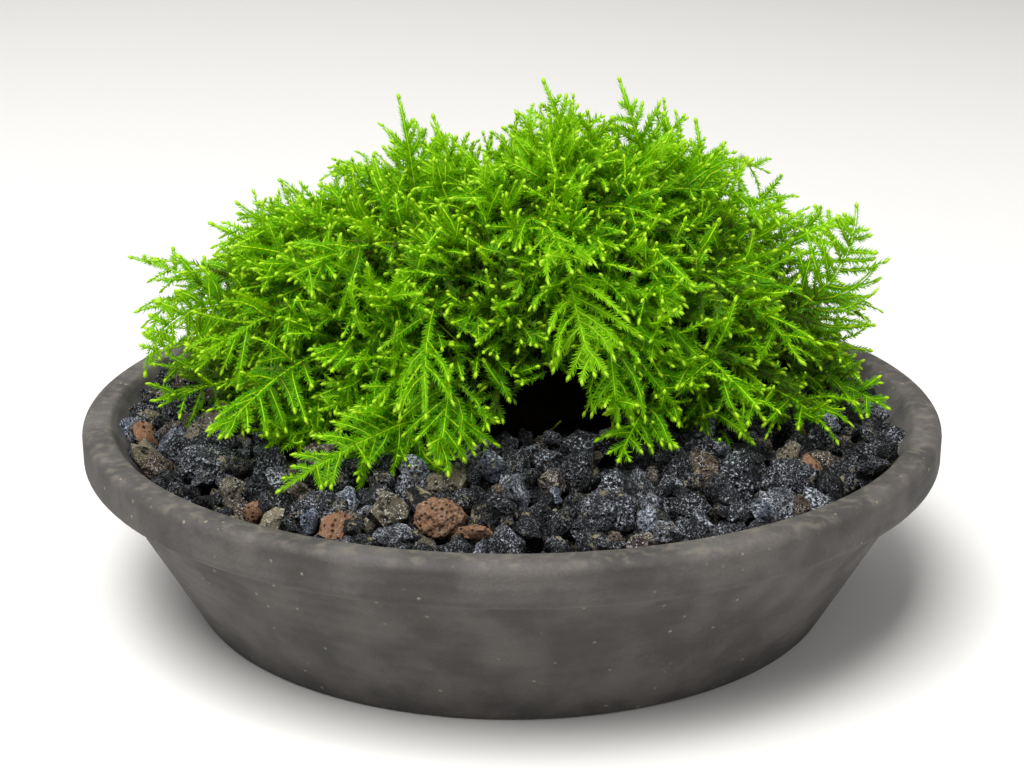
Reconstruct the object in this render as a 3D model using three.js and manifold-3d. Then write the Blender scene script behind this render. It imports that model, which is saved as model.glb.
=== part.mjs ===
// Christmas moss on dark lava gravel, in a plain shallow pot. Millimetres, +Z up.
// The origin is the middle of the pot's underside; -Y is the front, the side the clump shows best.
import * as THREE from "three";
import { mergeVertices } from "three/addons/utils/BufferGeometryUtils.js";
import Module from "manifold-3d";

const wasm = await Module();
wasm.setup();

// Driving dimensions
const GAP = 0.3; // clear space between two pieces that rest on each other
const POT = {
  rimRadius: 62,
  baseRadius: 47,
  height: 28,
  wall: 4,
  floor: 6,
  footHeight: 2.5,
  footWidth: 8,
  lipHeight: 6,
  lipOverhang: 2.8,
  lipRound: 1.4,
  drainRadius: 5,
  segments: 32,
};
const BED = { belowRim: 3, crown: 5, relief: 1.3, rings: 8, segments: 34 };
const MAT = { halfWidth: 43, halfDepth: 26, height: 32, rings: 7, segments: 32 };
const PEAK = { x: 14, width: 18, shoulder: 0.78 }; // the mat's top; its ends reach shoulder times the height
const HOLLOW = { angle: -82, width: 13, depth: 0.16, parting: 14, shortening: 0.3 }; // low in the mat's front
const BLADE = { thickness: 1, stemWidth: 1.3, tipWidth: 1.1, spread: 52, pairs: 5, trough: 0.4 };

// Fronds grow out of the mat in rounds, one over the other like shingles. share is how far
// from the mat's top to its rim the feet stand, lift the angle off the mat at the foot, and
// droop how far the frond arches back towards it.
const ROUNDS = [
  { name: "low", count: 13, share: 0.988, lift: 84, droop: 28, length: 14.5, width: 16 },
  { name: "middle", count: 12, share: 0.93, lift: 62, droop: 34, length: 19, width: 16 },
  { name: "high", count: 10, share: 0.8, lift: 50, droop: 42, length: 20, width: 17 },
  { name: "upper", count: 7, share: 0.5, lift: 40, droop: 44, length: 20, width: 17 },
];
const SCATTER = { swing: 0.3, lift: 8, length: 0.14 }; // how much one frond of a round differs
const END_CROWDING = 0.15; // evens the steps along the rim of the long mat

// The fronds of the crown stand up out of it. turn and lift say where a frond heads.
const CROWN = [
  { x: -14, y: 0, turn: 150, lift: 84, length: 15.5, width: 12 },
  { x: -5, y: -2, turn: 180, lift: 58, length: 13, width: 11 },
  { x: 9, y: 1, turn: 180, lift: 66, length: 12.5, width: 11 },
  { x: 19, y: 0, turn: 178, lift: 72, length: 13.5, width: 11 },
  { x: 27, y: -1, turn: 150, lift: 86, length: 12.5, width: 10 },
];
const CROWN_DROOP = 16;
const CROWN_TILT = 80;

// Fronds that leave their round and break the outline. tilt turns their upper side from the sky
// at 0 to the front at 90, and sway is how far a frond curves to its left.
const STRAYS = {
  frond_middle_12: { turn: -8, lift: 20, tilt: 82, length: 21, width: 19, droop: 12, sway: 76 },
  frond_high_01: { turn: 28, lift: 34, tilt: 20, length: 18, width: 15, droop: 40 },
  frond_middle_06: { turn: 163, lift: 24, tilt: 40, length: 18, width: 12, droop: 10, sway: 12 },
  frond_middle_07: { turn: 188, lift: 46, tilt: 62, length: 23, width: 12, droop: 20, sway: 126 },
  frond_low_01: { turn: -48, lift: -4, tilt: 50, length: 12.5, width: 12, droop: 24 },
  frond_low_09: { turn: 226, lift: 14, tilt: 10, length: 13.5, width: 14, droop: 30 },
  frond_low_10: { turn: 230, lift: 4, tilt: 50, length: 24, width: 15, droop: 44 },
  frond_low_11: { turn: 260, lift: 4, tilt: 40, length: 12.5, width: 12, droop: 34 },
  frond_low_12: { turn: 250, lift: 0, tilt: 40, length: 14, width: 12, droop: 34 },
};
const FOOT_CLEARANCE = GAP + 0.7; // from the mat to the middle of a frond's foot

// Loose stones that stand out of the gravel.
const STONES = [
  { x: -41, y: -27, size: 8.5, flatness: 0.6, finish: "stone" },
  { x: -24, y: -43, size: 6.5, flatness: 0.7, finish: "stone" },
  { x: -9, y: -47, size: 6, flatness: 0.85, finish: "tan" },
  { x: 12, y: -45, size: 7.5, flatness: 0.7, finish: "stone" },
  { x: 36, y: -33, size: 7, flatness: 0.8, finish: "stone" },
  { x: -22, y: 42, size: 8, flatness: 0.7, finish: "tan" },
];

const matt = (color, roughness) => new THREE.MeshStandardMaterial({ color, roughness, metalness: 0 });
const FINISH = {
  pot: matt(0x35332f, 0.8),
  gravel: matt(0x2a2b30, 0.95),
  stone: matt(0x4b4c55, 0.9),
  tan: matt(0xa8805a, 0.9),
  mat: matt(0x1f3a0a, 0.9),
  frond: matt(0x4f9a10, 0.6),
};

const moss = new THREE.Group();

const between = (low, high, share) => low + (high - low) * share;
const radians = THREE.MathUtils.degToRad;

// A repeatable number from 0 to 1 for item i of a series.
function chance(i, series) {
  const s = Math.sin(i * 12.9898 + series * 78.233) * 43758.5453;
  return s - Math.floor(s);
}

function addPiece(name, geometry, material) {
  const mesh = new THREE.Mesh(geometry, material);
  mesh.name = name;
  moss.add(mesh);
  return mesh;
}

// The same geometry with shared corners, ready for a boolean cut.
function welded(geometry) {
  const bare = geometry.clone();
  bare.deleteAttribute("normal");
  bare.deleteAttribute("uv");
  return mergeVertices(bare, 1e-4);
}

function toSolid(geometry) {
  const shared = welded(geometry);
  return new wasm.Manifold(
    new wasm.Mesh({
      numProp: 3,
      vertProperties: shared.attributes.position.array,
      triVerts: new Uint32Array(shared.index.array),
    }),
  );
}

function toGeometry(solid) {
  const { vertProperties, triVerts } = solid.getMesh();
  return new THREE.BufferGeometry()
    .setAttribute("position", new THREE.BufferAttribute(vertProperties, 3))
    .setIndex(new THREE.BufferAttribute(triVerts, 1));
}

// A closed shell from rings of points, with a cap point under the first ring and one over the last.
function shellOfRings(rings, under, over) {
  const n = rings[0].length;
  const faces = [];
  for (let r = 0; r + 1 < rings.length; r++) {
    for (let s = 0; s < n; s++) {
      const a = r * n + s;
      const b = r * n + ((s + 1) % n);
      faces.push(a, b, a + n, b, b + n, a + n);
    }
  }
  const last = (rings.length - 1) * n;
  const underAt = rings.length * n;
  for (let s = 0; s < n; s++) {
    const next = (s + 1) % n;
    faces.push(underAt, next, s);
    faces.push(underAt + 1, last + s, last + next);
  }
  return new THREE.BufferGeometry().setFromPoints([...rings.flat(), under, over]).setIndex(faces);
}

// The pot: a shallow pan with a plain rounded lip, a foot ring and one drain hole.
function potGeometry() {
  const { rimRadius, baseRadius, height, wall, floor, footHeight, footWidth } = POT;
  const { lipHeight, lipOverhang, lipRound, drainRadius } = POT;
  const lipCorner = (z, from, to) =>
    [0, 0.5, 1].map((share) => {
      const angle = radians(between(from, to, share));
      return [rimRadius - lipRound + lipRound * Math.cos(angle), z + lipRound * Math.sin(angle)];
    });
  const profile = [
    [drainRadius, footHeight],
    [baseRadius - footWidth, footHeight],
    [baseRadius - footWidth, 0],
    [baseRadius, 0],
    [rimRadius - lipOverhang, height - lipHeight],
    ...lipCorner(height - lipHeight + lipRound, -90, 0),
    ...lipCorner(height - lipRound, 0, 90),
    [rimRadius - wall, height],
    [innerRadius(floor), floor],
    [drainRadius, floor],
    [drainRadius, footHeight],
  ];
  const points = profile.map(([r, z]) => new THREE.Vector2(r, z));
  return new THREE.LatheGeometry(points, POT.segments).rotateX(Math.PI / 2);
}

// The pot's inner wall leans out from the floor to the rim.
function innerRadius(z) {
  const share = (z - POT.floor) / (POT.height - POT.floor);
  return between(POT.baseRadius - POT.wall + 1, POT.rimRadius - POT.wall, share);
}

// Height of the gravel at a distance from the middle, a low heap.
function bedHeight(radius) {
  const edge = innerRadius(POT.height);
  return POT.height - BED.belowRim + BED.crown * (1 - (radius / edge) ** 2);
}

// The gravel bed: one heap of grains whose top is broken into lumps.
function bedGeometry() {
  const ring = (radius, height, lumps) =>
    Array.from({ length: BED.segments }, (_, s) => {
      const lump = lumps * (2 * chance(s, radius) - 1);
      const angle = ((s + 0.5 * lump) / BED.segments) * 2 * Math.PI;
      const z = height + lump * BED.relief;
      return new THREE.Vector3(radius * Math.cos(angle), radius * Math.sin(angle), z);
    });
  const bottom = POT.floor + GAP;
  const edgeHeight = bedHeight(innerRadius(POT.height)) - BED.relief;
  const edge = innerRadius(edgeHeight) - GAP;
  const rings = [ring(innerRadius(bottom) - GAP, bottom, 0), ring(edge, edgeHeight, 0)];
  for (let r = BED.rings - 1; r > 0; r--) {
    const radius = (edge * r) / BED.rings;
    rings.push(ring(radius, bedHeight(radius), 1));
  }
  const under = new THREE.Vector3(0, 0, bottom);
  const over = new THREE.Vector3(0, 0, bedHeight(0));
  return shellOfRings(rings, under, over);
}

// An angular stone: a ball of flat faces whose corners are pulled in and out.
function stoneGeometry({ x, y, size, flatness }, index, clearance) {
  const stone = welded(new THREE.IcosahedronGeometry(size / 2, 1));
  const places = stone.attributes.position;
  const corner = new THREE.Vector3();
  for (let i = 0; i < places.count; i++) {
    corner.fromBufferAttribute(places, i);
    corner.multiplyScalar(between(0.82, 1.12, chance(i, index + 1)) + (2 * clearance) / size);
    places.setXYZ(i, corner.x * 1.15, corner.y * 0.9, corner.z * flatness);
  }
  stone.rotateZ(chance(index, 5) * Math.PI);
  return stone.translate(x, y, bedHeight(Math.hypot(x, y)) + 0.2 * size * flatness);
}

// How far an angle is from the middle of the hollow, in radians.
function turnFromHollow(angle) {
  const turn = angle - radians(HOLLOW.angle);
  return Math.atan2(Math.sin(turn), Math.cos(turn));
}

// How much of the hollow reaches a point of the mat: 1 in its middle, at the rim.
function hollowAt(share, angle) {
  return share ** 8 * Math.exp(-((turnFromHollow(angle) / radians(HOLLOW.width)) ** 2));
}

// The mat is where the stems tangle: a long mound, higher to the right of its middle, with
// soft lobes. share runs from 0 at the top to 1 at the rim.
function matPoint(share, angle) {
  const hollow = HOLLOW.depth * hollowAt(share, angle);
  const wave = 1 + 0.06 * Math.sin(3 * angle + 0.7) + 0.04 * Math.sin(5 * angle) - hollow;
  const x = MAT.halfWidth * wave * share * Math.cos(angle);
  const y = MAT.halfDepth * wave * share * Math.sin(angle);
  const shoulder = between(PEAK.shoulder, 1, Math.exp(-(((x - PEAK.x) / PEAK.width) ** 2)));
  const lobes = 1 + 0.06 * share * Math.sin(8 * angle + 6 * share);
  const rise = MAT.height * shoulder * lobes * Math.sqrt(Math.max(0, 1 - share ** 4));
  return new THREE.Vector3(x, y, bedHeight(Math.hypot(x, y)) + rise);
}

// The way down along the mat and the way out of it, at one of its points.
function matSlope(share, angle) {
  const step = 0.01;
  const inside = Math.min(share, 1 - step);
  const here = matPoint(inside, angle);
  const down = matPoint(inside + step, angle).sub(here).normalize();
  const round = matPoint(inside, angle + step).sub(here);
  return { down, out: new THREE.Vector3().crossVectors(down, round).normalize() };
}

function matGeometry() {
  const ring = (share) =>
    Array.from({ length: MAT.segments }, (_, s) => matPoint(share, (s / MAT.segments) * 2 * Math.PI));
  const rings = [];
  for (let r = MAT.rings; r > 0; r--) rings.push(ring(Math.sin((r / MAT.rings) * (Math.PI / 2))));
  const sunk = 2 * BED.relief;
  rings.unshift(rings[0].map((point) => point.clone().setZ(point.z - sunk)));
  return shellOfRings(rings, new THREE.Vector3(0, 0, bedHeight(0) - sunk), matPoint(0, 0));
}

// The outline of one frond, laid flat: a stem with pairs of leafy branchlets that are longest
// low down, and a bare tip.
function frondOutline(length, width) {
  const { stemWidth, tipWidth, spread, pairs } = BLADE;
  const forward = Math.cos(radians(spread));
  const aside = Math.sin(radians(spread));
  const half = [[0, stemWidth / 2]];
  for (let i = 0; i < pairs; i++) {
    const share = (i + 0.5) / pairs;
    const foot = length * between(0.1, 0.86, i / (pairs - 0.5));
    const reach = (width / 2) * Math.min(1, 0.62 + 1.1 * share) * (1.08 - share);
    const tip = [foot + (reach * forward) / aside, stemWidth / 2 + reach];
    half.push([foot, stemWidth / 2]);
    half.push([tip[0] - (tipWidth / 2) * aside, tip[1] + (tipWidth / 2) * forward]);
    half.push([tip[0] + (tipWidth / 2) * aside, tip[1] - (tipWidth / 2) * forward]);
  }
  half.push([length * 0.88, stemWidth / 2]);
  half.push([length, tipWidth / 3]);
  const mirrored = half.map(([x, y]) => [x, -y]).reverse();
  return new THREE.Shape([...mirrored, ...half].map(([x, y]) => new THREE.Vector2(x, y)));
}

// A point of a straight strip, laid on an arc that turns down by bend radians a millimetre.
function onArc(along, up, bend) {
  if (bend === 0) return [along, up];
  const radius = 1 / bend;
  return [(radius + up) * Math.sin(bend * along), (radius + up) * Math.cos(bend * along) - radius];
}

// A frond as a solid: the outline made thick, its sides hung a little, then turned to its left
// along its stem by the sway angle and arched by the droop angle.
function frondGeometry({ length, width, droop, sway = 0 }) {
  const blade = new THREE.ExtrudeGeometry(frondOutline(length, width), {
    depth: BLADE.thickness,
    bevelEnabled: false,
  }).translate(0, 0, -BLADE.thickness / 2);
  const places = blade.attributes.position;
  for (let i = 0; i < places.count; i++) {
    const y = places.getY(i);
    const sag = places.getZ(i) - (BLADE.trough * y * y) / width;
    const [forward, aside] = onArc(places.getX(i), -y, radians(sway) / length);
    const [along, up] = onArc(forward, sag, radians(droop) / length);
    places.setXYZ(i, along, -aside, up);
  }
  return blade;
}

// The way that a frond heads at a turn about Z and a lift over the level, in degrees.
function headingAt(turn, lift) {
  const level = Math.cos(radians(lift));
  return new THREE.Vector3(
    level * Math.cos(radians(turn)),
    level * Math.sin(radians(turn)),
    Math.sin(radians(lift)),
  );
}

// The way that a frond's upper side looks, from the sky at 0 degrees to the front at 90.
function facingAt(tilt) {
  return new THREE.Vector3(0, -Math.sin(radians(tilt)), Math.cos(radians(tilt)));
}

// Places a frond with its foot at a point and its upper side towards facing.
function addFrond(name, foot, heading, facing, shape) {
  const side = new THREE.Vector3().crossVectors(facing, heading).normalize();
  const upper = new THREE.Vector3().crossVectors(heading, side);
  const mesh = addPiece(name, frondGeometry(shape), FINISH.frond);
  mesh.position.copy(foot).addScaledVector(heading, FOOT_CLEARANCE);
  mesh.quaternion.setFromRotationMatrix(new THREE.Matrix4().makeBasis(heading, side, upper));
}

function addRound({ name, count, share, lift, droop, length, width }, index) {
  for (let i = 0; i < count; i++) {
    const swing = SCATTER.swing * (chance(i, index + 20) - 0.5);
    const place = (2 * Math.PI * (i + 0.5 * (index % 2) + swing)) / count;
    const crowded = place + END_CROWDING * Math.sin(2 * place);
    const hollow = hollowAt(share, crowded);
    const angle = crowded + radians(HOLLOW.parting) * hollow * Math.sign(turnFromHollow(crowded));
    const node = `frond_${name}_${String(i + 1).padStart(2, "0")}`;
    const foot = matPoint(share, angle);
    if (node in STRAYS) {
      const stray = STRAYS[node];
      addFrond(node, foot, headingAt(stray.turn, stray.lift), facingAt(stray.tilt), stray);
      continue;
    }
    const { down, out } = matSlope(share, angle);
    const off = radians(lift + SCATTER.lift * (chance(i, index + 10) - 0.5));
    const heading = down.clone().multiplyScalar(Math.cos(off)).addScaledVector(out, Math.sin(off));
    const facing = out.clone().multiplyScalar(Math.cos(off)).addScaledVector(down, -Math.sin(off));
    const scatter = between(1 - SCATTER.length, 1 + SCATTER.length, chance(i, index));
    const reach = length * scatter * (1 - HOLLOW.shortening * hollow);
    addFrond(node, foot, heading, facing, { length: reach, width, droop });
  }
}

function addCrownFrond({ x, y, turn, lift, length, width }, index) {
  const share = Math.hypot(x / MAT.halfWidth, y / MAT.halfDepth);
  const angle = Math.atan2(y / MAT.halfDepth, x / MAT.halfWidth);
  const shape = { length, width, droop: CROWN_DROOP };
  const foot = matPoint(share, angle);
  addFrond(`frond_crown_${index + 1}`, foot, headingAt(turn, lift), facingAt(CROWN_TILT), shape);
}

addPiece("pot", potGeometry(), FINISH.pot);

let bed = toSolid(bedGeometry());
STONES.forEach((stone, i) => {
  addPiece(`stone_${i + 1}`, stoneGeometry(stone, i, 0), FINISH[stone.finish]);
  bed = bed.subtract(toSolid(stoneGeometry(stone, i, GAP)));
});
addPiece("gravel_bed", toGeometry(bed), FINISH.gravel);

const mat = toSolid(matGeometry()).subtract(bed.translate([0, 0, GAP]));
addPiece("moss_mat", toGeometry(mat), FINISH.mat);
ROUNDS.forEach(addRound);
CROWN.forEach(addCrownFrond);

export default moss;
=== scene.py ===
"""Christmas moss on dark lava gravel in a plain stoneware pan, dressed around its solids. Metres."""

import math
from typing import NamedTuple

import bpy
import numpy as np
from bpy.props import FloatProperty, FloatVectorProperty, IntProperty, PointerProperty
from mathutils import Euler, Matrix, Quaternion, Vector, noise


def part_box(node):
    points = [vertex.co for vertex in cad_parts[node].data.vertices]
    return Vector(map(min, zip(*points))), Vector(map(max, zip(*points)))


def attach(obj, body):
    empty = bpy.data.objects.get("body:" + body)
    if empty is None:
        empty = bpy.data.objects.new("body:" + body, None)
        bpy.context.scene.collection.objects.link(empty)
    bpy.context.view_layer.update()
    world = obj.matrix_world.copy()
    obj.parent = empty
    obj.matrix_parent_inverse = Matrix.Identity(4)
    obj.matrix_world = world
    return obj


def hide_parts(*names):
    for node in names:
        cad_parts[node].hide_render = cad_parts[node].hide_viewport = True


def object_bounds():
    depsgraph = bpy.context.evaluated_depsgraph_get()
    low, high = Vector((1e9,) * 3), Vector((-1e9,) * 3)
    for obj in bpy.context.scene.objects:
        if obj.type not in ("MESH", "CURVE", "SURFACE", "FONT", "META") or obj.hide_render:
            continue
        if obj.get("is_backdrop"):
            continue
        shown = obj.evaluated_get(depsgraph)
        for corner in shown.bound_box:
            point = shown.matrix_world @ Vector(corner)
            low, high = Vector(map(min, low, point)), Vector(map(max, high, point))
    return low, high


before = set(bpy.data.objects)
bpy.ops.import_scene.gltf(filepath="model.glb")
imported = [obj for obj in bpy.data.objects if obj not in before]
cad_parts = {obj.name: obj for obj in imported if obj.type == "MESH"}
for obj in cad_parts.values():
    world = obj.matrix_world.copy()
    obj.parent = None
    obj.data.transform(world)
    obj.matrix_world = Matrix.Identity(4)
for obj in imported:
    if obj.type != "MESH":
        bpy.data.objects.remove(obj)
CAD_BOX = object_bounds()

bl_info = {
    "name": "Potted Christmas Moss",
    "version": (1, 0, 0),
    "blender": (4, 5, 0),
    "location": "View3D > Sidebar > Moss",
    "description": "Dresses the solids of a potted clump of christmas moss",
    "category": "Object",
}

MM = 0.001
WELD = 1e-6  # corners closer than this are one
BAKE_MAP = "OFBake"  # the UV map that the finishes of leaves and grains follow

# The pan and the gravel heap in it
RIM_RADIUS, _, RIM_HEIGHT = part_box("pot")[1]
BASE_RADIUS = 47 * MM
FLOOR_HEIGHT = 6 * MM
WALL = 4 * MM
INNER_FLARE = 1 * MM  # how much thinner the wall is at the floor
ROUND_STEPS = 144
PAN_BEVEL_ANGLE = math.radians(25)
PAN_SMOOTH_ANGLE = math.radians(35)
LIP_POINTS = 7  # on each rounded edge of the lip
BED_BELOW_RIM = 3 * MM
BED_CROWN = 5 * MM
BED_SUNK = 2.4 * MM  # how far the packed gravel lies below the top of its solid
LOOKS_UP = 0.3  # the least Z of the normal of a face that looks up

# Finishes: the depth of their relief, the wear of the lip and the lines left by the wheel
CLAY_RELIEF = 0.22 * MM
LAVA_RELIEF = 0.75 * MM
FELT_RELIEF = 1.6 * MM
WORN_LIP = 1.2 * MM  # how far down the lip is rubbed pale
TURNING_LINES = 3.4  # radians of the wheel's lines in a millimetre of height

# Tones of lava, from dark at 0 through bluish, brown and yellowish to tan at 1
PACKED_TONE = 0.2
DARK_TONE = 0.5
TAN_TONE = 1.0

# The mat of old stems that the fronds grow out of
MAT_HALF_WIDTH = 43 * MM
MAT_HALF_DEPTH = 26 * MM
MAT_HEIGHT = 32 * MM
PEAK_AT = 14 * MM  # how far right of the middle the mat is highest
PEAK_WIDTH = 18 * MM
SHOULDER = 0.78  # the height of its ends, as a share of the peak's
HOLLOW_ANGLE = math.radians(-82)  # the middle of the hollow low in the mat's front
HOLLOW_WIDTH = math.radians(13)
HOLLOW_DEPTH = 0.16
HOLLOW_FADING = 8  # how fast the hollow fades from the rim to the top
HOLLOW_PARTING = math.radians(14)
HOLLOW_SHORTENING = 0.3
MOUTH = (6.5 * MM, 9.5 * MM, 10 * MM)  # the dark mouth in the front: its middle, half width and height
HANGING = (0.6, 0.8, 1)  # the points along a stem that have to be clear of the mouth
DARK_LOW_HEIGHT = (37 * MM, 43 * MM)  # up to where the mat's core is nearly black, and from where it is green
MAT_WAVES = ((0.06, 3, 0.7), (0.04, 5, 0))  # size, count and turn of the waves round its rim
LOBE_SIZE = 0.06
LOBE_COUNT = 8
LOBE_TWIST = 6
SLOPE_STEP = 0.01

# How the fronds lie in their rounds, the same as in the solids. Angles are in degrees.
FOOT_CLEARANCE = 1 * MM
FROND_TROUGH = 0.4
CROWN_DROOP = 16
CROWN_TILT = 80
END_CROWDING = 0.15
SWING = 0.3
LIFT_SCATTER = 8
LENGTH_SCATTER = 0.14
LIFT_SERIES = 10  # the series of repeatable numbers behind the lifts, and behind the swings
SWING_SERIES = 20


class Round(NamedTuple):
    """One round of fronds: how far out on the mat it stands, and the shape of its fronds."""

    name: str
    count: int
    share: float
    lift: float
    droop: float
    length: float
    width: float


class CrownFrond(NamedTuple):
    """A frond that stands up out of the crown, at x and y on the mat."""

    x: float
    y: float
    turn: float
    lift: float
    length: float
    width: float


class Stray(NamedTuple):
    """How a frond lies that leaves its round.

    Its upper side looks up at tilt 0 and forward at tilt 90, and its stem bends to its left by sway.
    """

    turn: float
    lift: float
    tilt: float
    length: float
    width: float
    droop: float
    sway: float = 0


class Place(NamedTuple):
    """Where a frond grows, how it lies and how large it is. Droop and sway are in degrees."""

    foot: Vector
    heading: Vector
    facing: Vector
    length: float
    width: float
    droop: float
    sway: float = 0


ROUNDS = (
    Round("low", 13, 0.988, 84, 28, 14.5 * MM, 16 * MM),
    Round("middle", 12, 0.93, 62, 34, 19 * MM, 16 * MM),
    Round("high", 10, 0.8, 50, 42, 20 * MM, 17 * MM),
    Round("upper", 7, 0.5, 40, 44, 20 * MM, 17 * MM),
)
CROWN = (
    CrownFrond(-14 * MM, 0, 150, 84, 15.5 * MM, 12 * MM),
    CrownFrond(-5 * MM, -2 * MM, 180, 58, 13 * MM, 11 * MM),
    CrownFrond(9 * MM, 1 * MM, 180, 66, 12.5 * MM, 11 * MM),
    CrownFrond(19 * MM, 0, 178, 72, 13.5 * MM, 11 * MM),
    CrownFrond(27 * MM, -1 * MM, 150, 86, 12.5 * MM, 10 * MM),
)
STRAYS = {
    "frond_middle_12": Stray(-8, 20, 82, 21 * MM, 19 * MM, 12, 76),
    "frond_high_01": Stray(28, 34, 20, 18 * MM, 15 * MM, 40),
    "frond_middle_06": Stray(163, 24, 40, 18 * MM, 12 * MM, 10, 12),
    "frond_middle_07": Stray(188, 46, 62, 23 * MM, 12 * MM, 20, 126),
    "frond_low_01": Stray(-48, -4, 50, 12.5 * MM, 12 * MM, 24),
    "frond_low_09": Stray(226, 14, 10, 13.5 * MM, 14 * MM, 30),
    "frond_low_10": Stray(230, 4, 50, 24 * MM, 15 * MM, 44),
    "frond_low_11": Stray(260, 4, 40, 12.5 * MM, 12 * MM, 34),
    "frond_low_12": Stray(250, 0, 40, 14 * MM, 12 * MM, 34),
}
STONES = tuple(f"stone_{number}" for number in range(1, 7))
TAN_STONES = ("stone_3", "stone_6")

# Bands of the finish map, left to right: leaves, stems, buds. Its height is the tint of a frond,
# from old and brown at 0 to young and bright at 1.
LEAF_BAND = (0.03, 0.45)
STEM_BAND = (0.53, 0.77)
BUD_BAND = (0.84, 0.96)
MARK = 0.006  # half the size of the smallest mark on the finish map
TINT_LIMITS = (0.02, 0.98)
OLD_WOOD_TINT = 0.04
SHOOT_TINT = 0.1  # how much younger a single shoot looks than the sprigs around it
FAN_SWAY = 50  # a frond that sways more than this is one of the fresh fans at the two ends
FAN_TINT = 0.62
TIP_TINT = 0.3  # how much younger the tip of a branchlet looks than its foot
DEPTH_AGE_AND_SHADE = 1.8  # how fast growth looks younger and lighter outwards from the mat, and older and darker inwards: partly age, partly painted shade deep in the clump
DEPTH_AGE_AND_SHADE_LIMITS = (-0.3, 0.14)
FRESH_REACH = 1.14  # where growth has its own tint: this many times as far out as the mat's surface

# Leaves on their stem. Slants are in degrees.
SHORTEST_LEAF = 0.75  # the leaves at the two ends of a stem, as a share of the longest
LEAF_TAPER = 1.1  # the leaves are shortest again from 1 / 1.1 of the stem on
LEAF_SIZES = (0.85, 1.15)
LEAF_SLANTS = (46, 70)
LEAF_CLOSING = 28  # how much less the leaves at the tip are slanted
LEAF_RAISE = 0.4  # how far the flat rows of leaves stray out of their plane, in radians
STEM_STRETCHES = (7, 24, 40)  # past each of these counts of leaf pairs a stem has one more stretch
THICK_STEM = 40  # the pairs of leaves on a stem that is as thick as can be
STEM_THICKNESS = (0.9, 1.3)
STEM_TIP = 0.65  # the thickness of a stem's tip, as a share of its radius setting
LARGE_BUD = 14  # the pairs of leaves on a stem with a bud as large as can be
BUD_SIZES = (0.75, 1.15)
BUD_RINGS = ((0.28, 0.23), (0.66, 0.25))  # how far along a bud, and how wide, as shares of its length
BUD_MARKS = (0, 0.3, 0.7, 1)  # where its foot, its two rings and its tip are in their band
BUD_FLATNESS = 0.85
BUD_OVERLAP = 0.25  # the share of a bud that sits on its stem
STEM_ROOM = 0.5  # how far beside the middle of its stem a leaf starts, in stem radii

# Branchlets on a frond. Angles are in degrees, and a scatter is a standard deviation. Where it has two
# values, the first is an even frond's and the second a tousled one's.
BARE_FOOT = 0.08  # the share of a frond's stem below its first branchlet
MISSING = 0.07  # the share of branchlets that are missing
LOOSE_GAPS = (1, 1.45)  # in an even frond and in a tousled one
SWAYED_GAPS = (1, 0.74)  # in a straight frond and in a curved one
GAP_PARTS = (0.2, 0.8)  # where in its own gap a branchlet stands
LEAST_BRANCHLETS = 4
EVEN_TAPER = (1.08, 1)  # an even frond's width at its foot, and how fast it falls
LOOSE_TAPER = (1.05, 0.6)  # a tousled one's
BRANCHLET_SIZES = (0.82, 1.18)
FULL_WIDTH = (0.62, 1.1)  # the width at a frond's foot, and how fast it grows to the full one
SPREADS = (62, 46)  # at a frond's foot and at its tip
SPREAD_SCATTER = (6, 17)
OUTER_SPREAD = 36  # how much wider branchlets spread outside a full curve
LEAST_SPREAD = 0.76  # the least sine of a spread that a branchlet's length makes up for
CURL = (26, 16)  # towards the frond's tip, and down, for each metre of the branchlet
CURL_SCATTER = (16, 36)
TILT_SCATTER = (9, 30)
ROLL_SCATTER = (18, 50)
RISERS = 0.3  # the share of branchlets that stand up off a loose frond
RISER_TILTS = (30, 75)
SWAY_SCATTER = (2, 14)
OUTER_LAG = 90  # a frond's sway at which the branchlets outside its curve no longer turn with it
OWN_TINT_AT = 0.7  # where along a branchlet its tint is its own
TINT_SLOPE = 0.34  # how much younger the branchlets at a frond's tip look than those at its foot
TINT_MIDDLE = 0.6
BRANCHLET_TINT_SCATTER = 0.08

# Fronds that have a solid: the share of the stem past the last branchlet, and the looseness
CROWN_LEADER = 0.26
FROND_LEADER = 0.1
EVEN = 0.2
LOOSE = 0.55
FROND_TINT = 0.05  # how much younger a frond looks than the sprigs around it

# Old stems. The sizes and depths of loose ones are in millimetres.
OLD_STEM_RADII = (0.2 * MM, 0.13 * MM)
OLD_STEM_DROOPS = (10, 60)
OLD_STEM_SWAY_SCATTER = 17
SPRIG_ROOT = 5 * MM
FROND_ROOT = 6 * MM
LOOSE_STEM_SIZES = (7, 14)
LOOSE_STEM_DEPTHS = (1.5, 5)
LOOSE_STEM_TINTS = (0.03, 0.3)
LOOSE_STEM_GAP = 1.3  # the distance of their feet, in gaps of the sprigs
LOOSE_STEM_TURN_SCATTER = 1

# Side sprigs. Lifts and droops are in degrees, turns and rolls in radians, sizes and depths in
# millimetres.
LOW_RISE = 14 * MM  # up to this far over the gravel a sprig counts as low
HIGH_SHARE = 0.5  # up to this far from the mat's top a sprig counts as high
SPRIG_TURN_SCATTER = 0.75
HIGH_TURN_SCATTER = 0.9  # more turned at the top
SPRIG_LIFT = 44
LOW_LIFT = 38  # more lifted near the gravel
HIGH_LIFT = 8
END_LIFT = 26
SPRIG_LIFT_SCATTER = 15
SPRIG_ROLL_SCATTER = 0.6
SPRIG_SIZES = (8, 15)
SHORT_RIGHT = (17 * MM, 32 * MM)  # how far right of the middle sprigs begin to be shorter, and are shortest
SHORT_LEFT = (18 * MM, 36 * MM)  # the same to the left
LOW_SHORTER = 0.45  # how much shorter they are near the gravel, as a share
RIGHT_SHORTER = 0.45
LEFT_SHORTER = 0.3
HIGH_SHORTER = 0.2  # and at the top
SPRIG_WIDTHS = (0.7, 0.95)
SPRIG_DEPTHS = (1.5, 3.5)
HIGH_DEPTH = 1.5  # how much deeper the foot of one lies at the top
SPRIG_DROOPS = (5, 65)
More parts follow.
